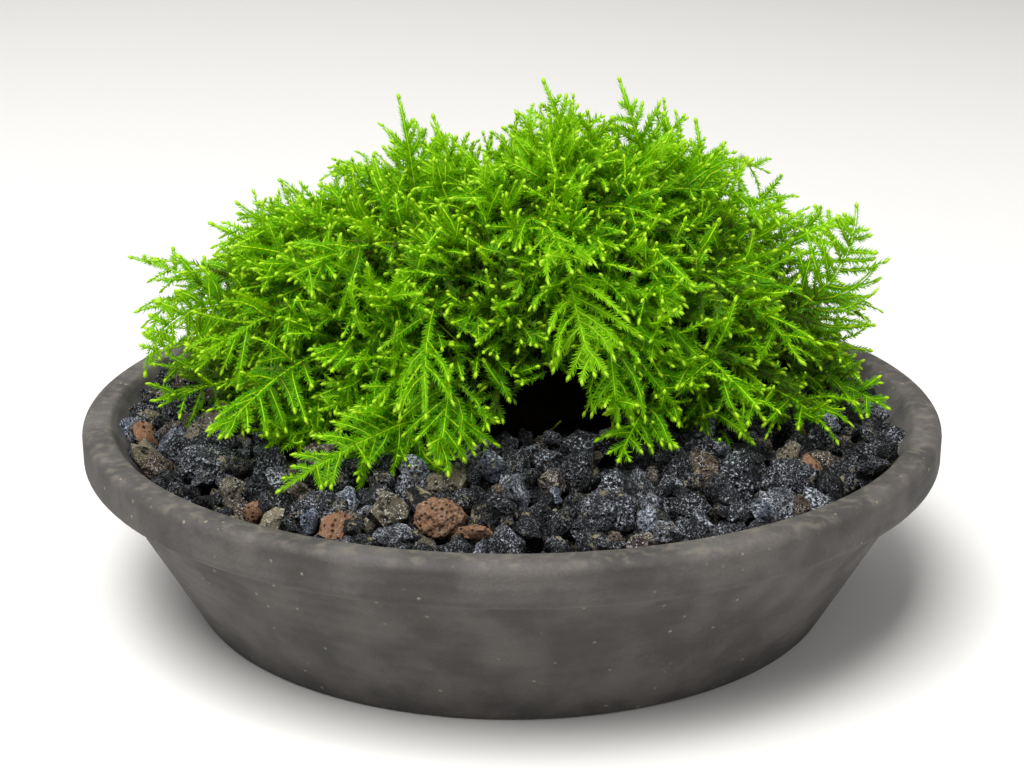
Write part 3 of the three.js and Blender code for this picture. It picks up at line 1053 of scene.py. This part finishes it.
class Growth:
    """Points, triangles and finish marks of many small parts, gathered for one joined mesh."""

    def __init__(self):
        self.points = []
        self.faces = []
        self.marks = []
        self.count = 0

    def add(self, points, faces, marks):
        """Adds one part. marks holds a place on the finish map for each corner of each triangle."""
        self.points.append(points)
        self.faces.append(faces + self.count)
        self.marks.append(marks)
        self.count += len(points)

    def joined(self):
        """The points, triangles and marks gathered so far."""
        return np.concatenate(self.points), np.concatenate(self.faces), np.concatenate(self.marks)

    def piece(self, name):
        """The joined mesh as an object."""
        points, faces, marks = self.joined()
        mesh = bpy.data.meshes.new(name)
        mesh.vertices.add(len(points))
        mesh.vertices.foreach_set("co", points.astype(np.float32).ravel())
        mesh.loops.add(faces.size)
        mesh.loops.foreach_set("vertex_index", faces.astype(np.int32).ravel())
        mesh.polygons.add(len(faces))
        mesh.polygons.foreach_set("loop_start", np.arange(0, faces.size, 3, dtype=np.int32))
        mesh.polygons.foreach_set("use_smooth", np.ones(len(faces), bool))
        layer = mesh.uv_layers.new(name=BAKE_MAP)
        layer.data.foreach_set("uv", marks.astype(np.float32).ravel())
        mesh.update(calc_edges=True)
        if mesh.validate():
            raise RuntimeError(f"{name} has faulty triangles")
        piece = bpy.data.objects.new(name, mesh)
        bpy.context.collection.objects.link(piece)
        return piece


def in_band(band, share):
    """The place at a share of the width of a band of the finish map."""
    return between(band[0], band[1], share)


def quad(corners, near, far):
    """Two triangles over four corners, and their marks: two corners are near in a band, two far."""
    a, b, c, d = corners
    ends = [(near, -MARK), (near, MARK), (far, MARK), (far, -MARK)]
    return [(a, b, c), (a, c, d)], [ends[0], ends[1], ends[2], ends[0], ends[2], ends[3]]


def bare_stem(length, steps, foot_radius, tip_radius):
    """A closed three-sided stem on the X axis, thinner towards its tip."""
    rings = steps + 1
    along = np.repeat(np.linspace(0, length, rings), 3)
    radius = np.repeat(np.linspace(foot_radius, tip_radius, rings), 3)
    around = np.tile(np.radians((90, 210, 330)), rings)
    points = np.stack([along, radius * np.cos(around), radius * np.sin(around)], 1)
    faces, marks = [(0, 2, 1), (3 * steps, 3 * steps + 1, 3 * steps + 2)], []
    for share in (0, 1):
        u = in_band(STEM_BAND, share)
        marks += [(u - MARK, -MARK), (u + MARK, -MARK), (u, MARK)]
    for step in range(steps):
        near, far = in_band(STEM_BAND, step / steps), in_band(STEM_BAND, (step + 1) / steps)
        for side in range(3):
            a, b = 3 * step + side, 3 * step + (side + 1) % 3
            pair, pair_marks = quad((a, b, b + 3, a + 3), near, far)
            faces += pair
            marks += pair_marks
    return points, np.array(faces), np.array(marks)


def bud(place, length):
    """A rounded bud on the X axis with its foot at a place: two rings of four points and two ends."""
    points = [(place, 0, 0), (place + length, 0, 0)]
    for share, radius in BUD_RINGS:
        for side in range(4):
            around = math.pi / 2 * side
            wide, high = math.cos(around) * radius, BUD_FLATNESS * math.sin(around) * radius
            points.append((place + share * length, wide * length, high * length))
    foot, waist, shoulder, tip = (in_band(BUD_BAND, share) for share in BUD_MARKS)
    faces, marks = [], []
    for side in range(4):
        a, b = 2 + side, 2 + (side + 1) % 4
        pair, pair_marks = quad((a, b, b + 4, a + 4), waist, shoulder)
        faces += [(b, a, 0), *pair, (a + 4, b + 4, 1)]
        marks += [(waist, MARK), (waist, -MARK), (foot, 0), *pair_marks]
        marks += [(shoulder, -MARK), (shoulder, MARK), (tip, 0)]
    return np.array(points), np.array(faces), np.array(marks)


class Moss:
    """Grows leafy stems and fronds at the sizes of the clump's settings."""

    def __init__(self, clump, seed):
        self.clump = clump
        self.chance = np.random.default_rng(seed)
        self.stems = {}

    def leaves(self, pairs):
        """Two flat rows of slender leaves along the X axis, and a sparser row above and below."""
        clump, chance = self.clump, self.chance
        flat = np.arange(2 * pairs)
        upright = np.arange(0, pairs, 2)
        along = np.concatenate([(flat + 1) * 0.5, upright + 0.75]) * clump.leaf_gap
        side = np.concatenate([np.where(flat % 2, 1, -1), chance.choice((-1, 1), len(upright))])
        many = len(along)
        share = np.clip(along / (pairs * clump.leaf_gap), 0, 1)
        fullness = np.sin(np.pi * np.clip(share * LEAF_TAPER, 0, 1))
        reach = clump.leaf_length * between(SHORTEST_LEAF, 1, fullness)
        reach *= chance.uniform(*LEAF_SIZES, many)
        slant = np.radians(chance.uniform(*LEAF_SLANTS, many) - LEAF_CLOSING * share**4)
        raised = np.concatenate([chance.normal(0, LEAF_RAISE, 2 * pairs), np.where(upright % 4, 1, -1)])
        out = reach * np.sin(slant)
        tip = np.stack([along + reach * np.cos(slant), side * out * np.cos(raised), out * np.sin(raised)], 1)
        half = clump.leaf_width / 2
        root = np.stack([along, side * STEM_ROOM * clump.stem_radius, np.zeros(many)], 1)
        first = root - side[:, None] * (half, 0, 0)
        second = root + side[:, None] * (half, 0, 0)
        points = np.stack([first, second, tip], 1).reshape(-1, 3)
        faces = np.arange(3 * many).reshape(-1, 3)
        u = in_band(LEAF_BAND, 0.5 * share)
        tip_u = in_band(LEAF_BAND, 0.5 * share + 0.5)
        marks = np.stack([np.stack([u, u, tip_u], 1), np.tile((-MARK, MARK, 0), (many, 1))], 2)
        return points, faces, marks.reshape(-1, 2)

    def leafy_stem(self, size):
        """A leafy stem of about a given length on the X axis, one of a few that are alike."""
        pairs = max(2, round(size / self.clump.leaf_gap))
        key = (pairs, int(self.chance.integers(3)))
        if key not in self.stems:
            reach = pairs * self.clump.leaf_gap
            steps = 1 + sum(pairs > limit for limit in STEM_STRETCHES)
            radius = self.clump.stem_radius * between(*STEM_THICKNESS, min(1, pairs / THICK_STEM))
            bud_length = self.clump.bud_length * between(*BUD_SIZES, min(1, pairs / LARGE_BUD))
            growth = Growth()
            growth.add(*self.leaves(pairs))
            growth.add(*bare_stem(reach, steps, radius, STEM_TIP * self.clump.stem_radius))
            growth.add(*bud(reach - BUD_OVERLAP * bud_length, bud_length))
            self.stems[key] = growth.joined()
        return self.stems[key]

    def branchlet(self, size, tint):
        """A leafy stem of about a given length, with its tint: younger towards its tip."""
        points, faces, marks = self.leafy_stem(size)
        x = points[:, 0]
        younger = np.stack([0 * x, tint + TIP_TINT * (x / size - OWN_TINT_AT)], 1)
        return points, faces, marks + younger[faces.ravel()]

    def shoot(self, growth, place, tint):
        """Adds a single leafy shoot that arches a little to one side."""
        points, faces, marks = self.branchlet(place.length, tint)
        add_aged_and_shaded(growth, self.grown(points, place, SHOOT_SWAY_SCATTER), faces, marks)

    def grown(self, points, place, sway):
        """Points of a straight frond, bent and moved to where it grows, with a chance sway added."""
        swayed = place._replace(sway=place.sway + self.chance.normal(0, sway))
        return laid(arched(points, swayed), swayed)

    def frond(self, growth, place, tint, leader, loose):
        """Adds a fir-shaped frond: a leafy stem whose side branchlets shorten towards its tip.

        It is flat and even where loose is 0, and tousled where it is 1.
        """
        flat = Growth()
        points, faces, marks = self.leafy_stem(place.length)
        flat.add(points, faces, marks + (0, tint))
        first, last = BARE_FOOT * place.length, (1 - leader) * place.length
        gap = self.clump.branchlet_gap * between(*LOOSE_GAPS, loose)
        gap *= between(*SWAYED_GAPS, min(1, abs(place.sway) / OUTER_LAG))
        count = max(LEAST_BRANCHLETS, round((last - first) / gap))
        for i in range(count):
            if self.chance.random() < MISSING:
                continue
            share = (i + self.chance.uniform(*GAP_PARTS)) / count
            side = 1 if i % 2 else -1
            points, faces, marks = self.side_branchlet(place, share, side, tint, loose)
            flat.add(points + (between(first, last, share), 0, 0), faces, marks)
        points, faces, marks = flat.joined()
        add_aged_and_shaded(growth, self.grown(points, place, between(*SWAY_SCATTER, loose)), faces, marks)

    def side_branchlet(self, place, share, side, tint, loose):
        """A branchlet as it stands at a share of the way along a frond, on its left at side 1."""
        chance = self.chance
        tapers = (width - fall * share for width, fall in (EVEN_TAPER, LOOSE_TAPER))
        reach = place.width / 2 * min(1, FULL_WIDTH[0] + FULL_WIDTH[1] * share) * between(*tapers, loose)
        lag = min(1, share * abs(place.sway) / OUTER_LAG) if side * place.sway < 0 else 0
        spread = between(*SPREADS, share) + OUTER_SPREAD * lag
        spread = math.radians(chance.normal(spread, between(*SPREAD_SCATTER, loose)))
        size = chance.uniform(*BRANCHLET_SIZES) * reach / max(LEAST_SPREAD, math.sin(spread))
        younger = chance.normal(TINT_SLOPE * (share - TINT_MIDDLE), BRANCHLET_TINT_SCATTER)
        points, faces, marks = self.branchlet(size, tint + younger)
        x = points[:, 0]
        curl = (-side * CURL[0] * (1 - lag), -CURL[1])
        curl = chance.normal(curl, between(*CURL_SCATTER, loose), 2)
        curled = points + np.stack([0 * x, curl[0] * x * x, curl[1] * x * x], 1)
        tilt = math.radians(chance.normal(0, between(*TILT_SCATTER, loose)))
        if chance.random() < RISERS * loose:
            tilt = -math.radians(chance.uniform(*RISER_TILTS))
        roll = math.radians(chance.normal(0, between(*ROLL_SCATTER, loose)))
        turn = np.array(Euler((roll, tilt, side * spread)).to_matrix())
        return curled @ turn.T, faces, marks

    def old_stem(self, growth, foot, heading, facing, size, tint=OLD_WOOD_TINT):
        """Adds a bare brown stem."""
        points, faces, marks = bare_stem(size, 3, *OLD_STEM_RADII)
        place = Place(foot, heading, facing, size, size, self.chance.uniform(*OLD_STEM_DROOPS))
        growth.add(self.grown(points, place, OLD_STEM_SWAY_SCATTER), faces, marks + (0, tint))


def add_aged_and_shaded(growth, points, faces, marks):
    """Adds a placed part, which looks older and darker the deeper it lies in the clump and younger and
    lighter out past it: partly age, partly painted shade and light.
    """
    age_and_shade = np.clip(DEPTH_AGE_AND_SHADE * (outward(points) - FRESH_REACH), *DEPTH_AGE_AND_SHADE_LIMITS)
    tint = np.clip(marks[:, 1] + age_and_shade[faces.ravel()], *TINT_LIMITS)
    growth.add(points, faces, np.stack([marks[:, 0], tint], 1))


def on_arc(along, up, bend):
    """Points of a straight strip, laid on an arc that turns down by bend radians a metre."""
    if bend == 0:
        return along, up
    radius = 1 / bend
    return (radius + up) * np.sin(bend * along), (radius + up) * np.cos(bend * along) - radius


def arched(points, place):
    """Bends a flat frond: its sides hang a little, and its stem sways to its left and droops."""
    x, y, z = points.T
    sag = z - FROND_TROUGH * y * y / place.width
    forward, aside = on_arc(x, -y, math.radians(place.sway) / place.length)
    along, rise = on_arc(forward, sag, math.radians(place.droop) / place.length)
    return np.stack([along, -aside, rise], 1)


def laid(points, place):
    """Moves points from a frond's own axes to where it grows."""
    side = place.facing.cross(place.heading).normalized()
    upper = place.heading.cross(side)
    axes = np.array([place.heading, side, upper])
    return points @ axes + np.array(place.foot)


def turn_from_hollow(angle):
    """How far an angle is from the middle of the hollow, from -pi to pi."""
    return math.remainder(angle - HOLLOW_ANGLE, 2 * math.pi)


def hollow_at(share, angle):
    """How much of the hollow reaches a point of the mat: 1 in its middle, at the rim."""
    return share**HOLLOW_FADING * math.exp(-((turn_from_hollow(angle) / HOLLOW_WIDTH) ** 2))


def mat_rise(x):
    """How high the mat rises over the gravel at a distance right of the middle."""
    return MAT_HEIGHT * between(SHOULDER, 1, np.exp(-(((x - PEAK_AT) / PEAK_WIDTH) ** 2)))


def mat_point(share, angle):
    """A point of the mat's surface, from its top at share 0 to its rim at share 1."""
    wave = 1
    for size, count, turn in MAT_WAVES:
        wave += size * math.sin(count * angle + turn)
    wave -= HOLLOW_DEPTH * hollow_at(share, angle)
    x = MAT_HALF_WIDTH * wave * share * math.cos(angle)
    y = MAT_HALF_DEPTH * wave * share * math.sin(angle)
    lobes = 1 + LOBE_SIZE * share * math.sin(LOBE_COUNT * angle + LOBE_TWIST * share)
    rise = mat_rise(x) * lobes * math.sqrt(max(0, 1 - share**4))
    return Vector((x, y, bed_height(math.hypot(x, y)) + rise))


def outward(points):
    """How far out points lie: less than 1 in the mat, and about 1 on its surface."""
    x, y, z = points.T
    share = np.hypot(x / MAT_HALF_WIDTH, y / MAT_HALF_DEPTH)
    rise = np.maximum(z - bed_height(np.hypot(x, y)), 0) / mat_rise(x)
    return (share**4 + rise**4) ** 0.25


def mat_slope(share, angle):
    """The way down along the mat and the way out of it, at one of its points."""
    inside = min(share, 1 - SLOPE_STEP)
    here = mat_point(inside, angle)
    down = mat_point(inside + SLOPE_STEP, angle) - here
    aside = mat_point(inside, angle + SLOPE_STEP) - here
    return down.normalized(), down.cross(aside).normalized()


def raised(along, out, lift):
    """A way along the mat raised off it by an angle, and the way that its upper side then looks."""
    heading = (along * math.cos(lift) + out * math.sin(lift)).normalized()
    return heading, out * math.cos(lift) - along * math.sin(lift)


def heading_at(turn, lift):
    """The way that a frond heads at a turn about Z and a lift over the level, in degrees."""
    turn, lift = math.radians(turn), math.radians(lift)
    level = math.cos(lift)
    return Vector((level * math.cos(turn), level * math.sin(turn), math.sin(lift)))


def facing_at(tilt):
    """The way that a frond's upper side looks, from the sky at 0 degrees to the front at 90."""
    return Vector((0, -math.sin(math.radians(tilt)), math.cos(math.radians(tilt))))


def round_place(row, index, i):
    """The place of frond i of a round, the same as in the solids."""
    swing = SWING * (unit_chance(i, index + SWING_SERIES) - 0.5)
    angle = 2 * math.pi * (i + 0.5 * (index % 2) + swing) / row.count
    angle += END_CROWDING * math.sin(2 * angle)
    hollow = hollow_at(row.share, angle)
    angle += math.copysign(HOLLOW_PARTING * hollow, turn_from_hollow(angle))
    down, out = mat_slope(row.share, angle)
    lift = row.lift + LIFT_SCATTER * (unit_chance(i, index + LIFT_SERIES) - 0.5)
    heading, facing = raised(down, out, math.radians(lift))
    scatter = between(1 - LENGTH_SCATTER, 1 + LENGTH_SCATTER, unit_chance(i, index))
    reach = row.length * scatter * (1 - HOLLOW_SHORTENING * hollow)
    foot = mat_point(row.share, angle) + heading * FOOT_CLEARANCE
    return Place(foot, heading, facing, reach, row.width, row.droop)


def strayed(place, stray):
    """A frond that leaves its round: its foot stays, and it heads another way."""
    heading = heading_at(stray.turn, stray.lift)
    foot = place.foot + (heading - place.heading) * FOOT_CLEARANCE
    shape = (stray.length, stray.width, stray.droop, stray.sway)
    return Place(foot, heading, facing_at(stray.tilt), *shape)


def crown_place(row):
    """The place of a frond of the crown, the same as in the solids."""
    share = math.hypot(row.x / MAT_HALF_WIDTH, row.y / MAT_HALF_DEPTH)
    angle = math.atan2(row.y / MAT_HALF_DEPTH, row.x / MAT_HALF_WIDTH)
    heading = heading_at(row.turn, row.lift)
    foot = mat_point(share, angle) + heading * FOOT_CLEARANCE
    return Place(foot, heading, facing_at(CROWN_TILT), row.length, row.width, CROWN_DROOP)


def frond_places():
    """Every frond that has a solid of its own, by the name of that solid."""
    places = {}
    for index, row in enumerate(ROUNDS):
        for i in range(row.count):
            places[f"frond_{row.name}_{i + 1:02d}"] = round_place(row, index, i)
    for name, stray in STRAYS.items():
        places[name] = strayed(places[name], stray)
    for i, row in enumerate(CROWN):
        places[f"frond_crown_{i + 1}"] = crown_place(row)
    return places


def in_mouth(point):
    """Whether a point lies in the dark mouth low in the clump's front, where no sprig grows or hangs."""
    middle, half_width, height = MOUTH
    rise = point.z - bed_height(math.hypot(point.x, point.y))
    return point.y < 0 and math.hypot((point.x - middle) / half_width, rise / height) < 1


def over_mouth(share, angle, place):
    """Whether a sprig would grow in the mouth or hang over it."""
    stem = np.array([(part * place.length, 0, 0) for part in HANGING])
    hanging = (Vector(point) for point in laid(arched(stem, place), place))
    return in_mouth(mat_point(share, angle)) or any(map(in_mouth, hanging))


def mat_feet(gap, chance):
    """Points spread evenly over the mat, as share and angle, with at least a gap between them."""
    feet, points = [], np.empty((0, 3))
    widest = WIDEST * MAT_HALF_WIDTH * MAT_HALF_DEPTH
    for _ in range(MAT_TRIES):
        share, angle = chance.uniform(TOP_SHARE, 1), chance.uniform(0, 2 * math.pi)
        here = mat_point(share, angle)
        inner, aside = mat_point(share - SLOPE_STEP, angle), mat_point(share, angle + SLOPE_STEP)
        area = (here - inner).cross(aside - here).length / SLOPE_STEP**2
        if area < widest * chance.random():
            continue
        if (np.linalg.norm(points - here, axis=1) > gap).all():
            feet.append((share, angle))
            points = np.vstack([points, here])
    return feet


def places_on_mat(gap, place_of, patches, chance):
    """Places spread evenly over the mat and clear of the mouth, each with the patch that it is in."""
    for share, angle in mat_feet(gap, chance):
        place = place_of(share, angle, chance)
        if not over_mouth(share, angle, place):
            yield place, patches[int(angle / (2 * math.pi) * len(patches))]


def tint_at(place, chance):
    """How young and how lit a frond looks: older and darker low down at the two ends, younger and lighter at
    the top, lighter on tufts and darker in hollows; partly age, partly painted light and shade.
    """
    rise = (place.foot.z - RIM_HEIGHT) / MAT_HEIGHT
    ends = (abs(place.foot.x) / MAT_HALF_WIDTH) ** 2
    tint = PLACE_TINT + TOP_YOUTH_AND_LIGHT * rise - END_AGE_AND_SHADE * ends * (1 - rise) + LUMP_LIGHT_AND_SHADE * lump_at(place.foot)
    return float(np.clip(chance.normal(tint, PLACE_TINT_SCATTER), *PLACE_TINT_LIMITS))


def sprig_place(share, angle, chance):
    """A side sprig: flatter on the slopes, raised near the gravel and at the top."""
    down, out = mat_slope(share, angle)
    foot = mat_point(share, angle)
    over_bed = foot.z - bed_height(math.hypot(foot.x, foot.y))
    low = max(0, 1 - over_bed / LOW_RISE)
    high = max(0, 1 - share / HIGH_SHARE)
    turn = chance.normal(0, SPRIG_TURN_SCATTER + HIGH_TURN_SCATTER * high)
    ends = abs(math.cos(angle)) ** 3 * share
    lift = SPRIG_LIFT + LOW_LIFT * low + HIGH_LIFT * high + END_LIFT * ends
    lift = math.radians(chance.normal(lift, SPRIG_LIFT_SCATTER))
    heading, facing = raised(Quaternion(out, turn) @ down, out, lift)
    facing = Quaternion(heading, chance.normal(0, SPRIG_ROLL_SCATTER)) @ facing
    right = share_of(foot.x, SHORT_RIGHT) * (1 - low)
    left = share_of(-foot.x, SHORT_LEFT) * (1 - low)
    kept = 1 - LOW_SHORTER * low - RIGHT_SHORTER * right - LEFT_SHORTER * left
    kept -= HIGH_SHORTER * high * (1 - right)
    size = chance.uniform(*SPRIG_SIZES) * MM * kept
    width = size * chance.uniform(*SPRIG_WIDTHS)
    sunk = (chance.uniform(*SPRIG_DEPTHS) + HIGH_DEPTH * high) * MM - LUMP_HEIGHT * lump_at(foot)
    return Place(foot - out * sunk, heading, facing, size, width, chance.uniform(*SPRIG_DROOPS))


def shoot_place(share, angle, chance):
    """A single shoot that stands out between the sprigs, turned any way along the mat."""
    down, out = mat_slope(share, angle)
    foot = mat_point(share, angle)
    along = Quaternion(out, chance.normal(0, SHOOT_TURN_SCATTER)) @ down
    heading, _ = raised(along, out, math.radians(chance.normal(*SHOOT_LIFT)))
    facing = Quaternion(heading, chance.uniform(0, 2 * math.pi)) @ along.cross(out)
    size = chance.uniform(*SHOOT_SIZES) * MM
    sunk = chance.uniform(*SHOOT_DEPTHS) * MM - LUMP_HEIGHT * lump_at(foot)
    return Place(foot - out * sunk, heading, facing, size, size, chance.uniform(*SHOOT_DROOPS))


def lump_at(point):
    """How far the clump bulges at a point, from about -1 in a hollow to 1 on a tuft."""
    return noise.noise(point / LUMP_SIZE)


def model_tangle():
    """The dark heart of the clump: the solid's mat drawn in and made lumpy."""
    piece = copy_of_solid("moss_mat", "mat_core")
    anchor = (0, 0, bed_height(0) - CORE_ANCHOR_DEPTH)
    edit(bpy.ops.transform.resize, value=CORE_SHRINK, center_override=anchor)
    roughen(piece, CORE_VOXEL, CORE_RELIEF, CORE_SMOOTH_ANGLE)
    return piece


# Operators


class MOSS_OT_pan(bpy.types.Operator):
    """Turn the stoneware pan"""

    bl_idname = "moss.pan"
    bl_label = "Pan"

    def execute(self, context):
        pan = context.scene.moss_pan
        hand_over(model_pan(pan), stoneware_finish(pan), "pot", "pot")
        return {"FINISHED"}


class MOSS_OT_gravel(bpy.types.Operator):
    """Fill the pan with lava gravel"""

    bl_idname = "moss.gravel"
    bl_label = "Gravel"

    def execute(self, context):
        gravel = context.scene.moss_gravel
        packed = lava_finish("packed_lava", gravel, Finish.object_place, lambda finish: PACKED_TONE)
        hand_over(model_bed(), packed, "gravel", "gravel_bed")
        loose = lava_finish("loose_lava", gravel, on_grain_tiles, tone_of_tile)
        grains = lay_grains(gravel).piece("gravel_grains")
        hand_over(grains, loose, "gravel", "gravel_bed")
        grains.select_set(True)
        context.view_layer.objects.active = grains
        bpy.ops.object.shade_smooth_by_angle(angle=GRAIN_SMOOTH_ANGLE)
        return {"FINISHED"}


class MOSS_OT_stones(bpy.types.Operator):
    """Set the larger stones into the gravel"""

    bl_idname = "moss.stones"
    bl_label = "Stones"

    def execute(self, context):
        gravel = context.scene.moss_gravel
        dark = lava_finish("dark_stone", gravel, Finish.object_place, lambda finish: DARK_TONE)
        tan = lava_finish("tan_stone", gravel, Finish.object_place, lambda finish: TAN_TONE)
        for number, node in enumerate(STONES):
            is_tan = node in TAN_STONES
            slot = "tan_stone" if is_tan else "lava_stone"
            hand_over(model_stone(node, number), tan if is_tan else dark, slot, node)
        return {"FINISHED"}


class MOSS_OT_tangle(bpy.types.Operator):
    """Grow the dark heart of the clump and its old stems"""

    bl_idname = "moss.tangle"
    bl_label = "Tangle"

    def execute(self, context):
        clump = context.scene.moss_clump
        hand_over(model_tangle(), tangle_finish(clump), "moss_mat", "moss_mat")
        moss = Moss(clump, clump.seed + 1)
        growth = Growth()
        for share, angle in mat_feet(LOOSE_STEM_GAP * clump.sprig_gap, moss.chance):
            down, out = mat_slope(share, angle)
            heading = Quaternion(out, moss.chance.normal(0, LOOSE_STEM_TURN_SCATTER)) @ down
            foot = mat_point(share, angle) - out * moss.chance.uniform(*LOOSE_STEM_DEPTHS) * MM
            size = moss.chance.uniform(*LOOSE_STEM_SIZES) * MM
            moss.old_stem(growth, foot, heading, out, size, moss.chance.uniform(*LOOSE_STEM_TINTS))
        hand_over(growth.piece("old_stems"), moss_finish(clump), "moss_mat", "moss_mat")
        return {"FINISHED"}


class MOSS_OT_sprigs(bpy.types.Operator):
    """Cover the clump with side sprigs"""

    bl_idname = "moss.sprigs"
    bl_label = "Side sprigs"

    def execute(self, context):
        clump = context.scene.moss_clump
        moss = Moss(clump, clump.seed + 2)
        patches = [Growth() for _ in range(PATCHES)]
        for place, patch in places_on_mat(clump.sprig_gap, sprig_place, patches, moss.chance):
            loose = moss.chance.uniform(*SPRIG_LOOSENESS)
            tint = tint_at(place, moss.chance)
            moss.frond(patch, place, tint, moss.chance.uniform(*SPRIG_LEADERS), loose)
            moss.old_stem(patch, place.foot, -place.heading, place.facing, SPRIG_ROOT)
        for place, patch in places_on_mat(clump.shoot_gap, shoot_place, patches, moss.chance):
            moss.shoot(patch, place, tint_at(place, moss.chance) + SHOOT_TINT)
        material = moss_finish(clump)
        for number, patch in enumerate(patches, 1):
            hand_over(patch.piece(f"side_sprigs_{number}"), material, "moss_mat", "moss_mat")
        return {"FINISHED"}


class MOSS_OT_fronds(bpy.types.Operator):
    """Grow the large fronds, one piece for each solid"""

    bl_idname = "moss.fronds"
    bl_label = "Fronds"

    def execute(self, context):
        clump = context.scene.moss_clump
        moss = Moss(clump, clump.seed)
        material = moss_finish(clump)
        for node, place in frond_places().items():
            growth = Growth()
            is_crown = node.startswith("frond_crown")
            leader = CROWN_LEADER if is_crown else FROND_LEADER
            loose = EVEN if is_crown or node in STRAYS else LOOSE
            tint = tint_at(place, moss.chance) + FROND_TINT
            if abs(place.sway) > FAN_SWAY:
                tint = max(tint, FAN_TINT)
            moss.frond(growth, place, tint, leader, loose)
            moss.old_stem(growth, place.foot, -place.heading, place.facing, FROND_ROOT)
            hand_over(growth.piece("leafy_" + node), material, "moss_frond", node)
        return {"FINISHED"}


class MOSS_OT_stage(bpy.types.Operator):
    """Set up the floor, the lights and the camera"""

    bl_idname = "moss.stage"
    bl_label = "Stage"

    def execute(self, context):
        stage = context.scene.moss_stage
        floor = start(bpy.ops.mesh.primitive_plane_add, "floor", size=FLOOR_SIZE)
        floor.data.materials.append(floor_finish(stage))
        floor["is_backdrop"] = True
        aim = Vector((0, 0, stage.aim))
        for name, (place, size) in LIGHTS.items():
            add_light(name, Vector(place), aim, size, stage.key if name == "key" else stage.fill)
        world = bpy.data.worlds.new("room")
        world.use_nodes = True
        sky = world.node_tree.nodes["Background"]
        sky.inputs["Color"].default_value = (1, 1, 1, 1)
        sky.inputs["Strength"].default_value = stage.ambient
        context.scene.world = world
        context.scene.view_settings.view_transform = "Standard"
        camera = bpy.data.objects.new("camera", bpy.data.cameras.new("camera"))
        camera.data.lens = stage.lens
        camera.data.clip_start = NEAREST_SEEN
        back = Vector((0, -math.cos(stage.elevation), math.sin(stage.elevation)))
        stand(camera, aim + back * stage.distance, aim)
        context.scene.camera = camera
        return {"FINISHED"}


def stand(thing, place, aim):
    """Puts a light or a camera in its place, turned to what it is aimed at."""
    bpy.context.collection.objects.link(thing)
    thing.matrix_world = Matrix.LocRotScale(place, (aim - place).to_track_quat("-Z", "Y"), None)


def add_light(name, place, aim, size, power):
    """A soft square light."""
    lamp = bpy.data.lights.new(name, "AREA")
    lamp.size = size
    lamp.energy = power
    stand(bpy.data.objects.new(name, lamp), place, aim)


class MOSS_PT_sidebar(bpy.types.Panel):
    """Lists the makers of the potted moss and their settings"""

    bl_label = "Potted Christmas Moss"
    bl_idname = "MOSS_PT_sidebar"
    bl_space_type = "VIEW_3D"
    bl_region_type = "UI"
    bl_category = "Moss"

    def draw(self, context):
        for group in GROUPS:
            box = self.layout.box()
            settings = getattr(context.scene, group)
            for name in settings.bl_rna.properties.keys():
                if name not in ("rna_type", "name"):
                    box.prop(settings, name)
        for operator in OPERATORS:
            self.layout.operator(operator.bl_idname)


GROUPS = {
    "moss_pan": MossPan,
    "moss_gravel": MossGravel,
    "moss_clump": MossClump,
    "moss_stage": MossStage,
}
OPERATORS = (
    MOSS_OT_stage,
    MOSS_OT_pan,
    MOSS_OT_gravel,
    MOSS_OT_stones,
    MOSS_OT_tangle,
    MOSS_OT_sprigs,
    MOSS_OT_fronds,
)


def register():
    """Adds the settings, the operators and the panel to Blender."""
    for settings in GROUPS.values():
        bpy.utils.register_class(settings)
    for name, settings in GROUPS.items():
        setattr(bpy.types.Scene, name, PointerProperty(type=settings))
    for operator in OPERATORS:
        bpy.utils.register_class(operator)
    bpy.utils.register_class(MOSS_PT_sidebar)


def unregister():
    """Takes them out again."""
    bpy.utils.unregister_class(MOSS_PT_sidebar)
    for operator in reversed(OPERATORS):
        bpy.utils.unregister_class(operator)
    for name, settings in GROUPS.items():
        delattr(bpy.types.Scene, name)
        bpy.utils.unregister_class(settings)


def main():
    """Makes every piece, and works out how large the solids and the dressed part are."""
    register()
    bpy.ops.moss.stage()
    bpy.ops.moss.pan()
    bpy.ops.moss.gravel()
    bpy.ops.moss.stones()
    bpy.ops.moss.tangle()
    bpy.ops.moss.sprigs()
    bpy.ops.moss.fronds()
    boxes = {"cad": CAD_BOX, "visual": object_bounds()}
    {name: [list(corner) for corner in box] for name, box in boxes.items()}


if __name__ == "__main__":
    main()
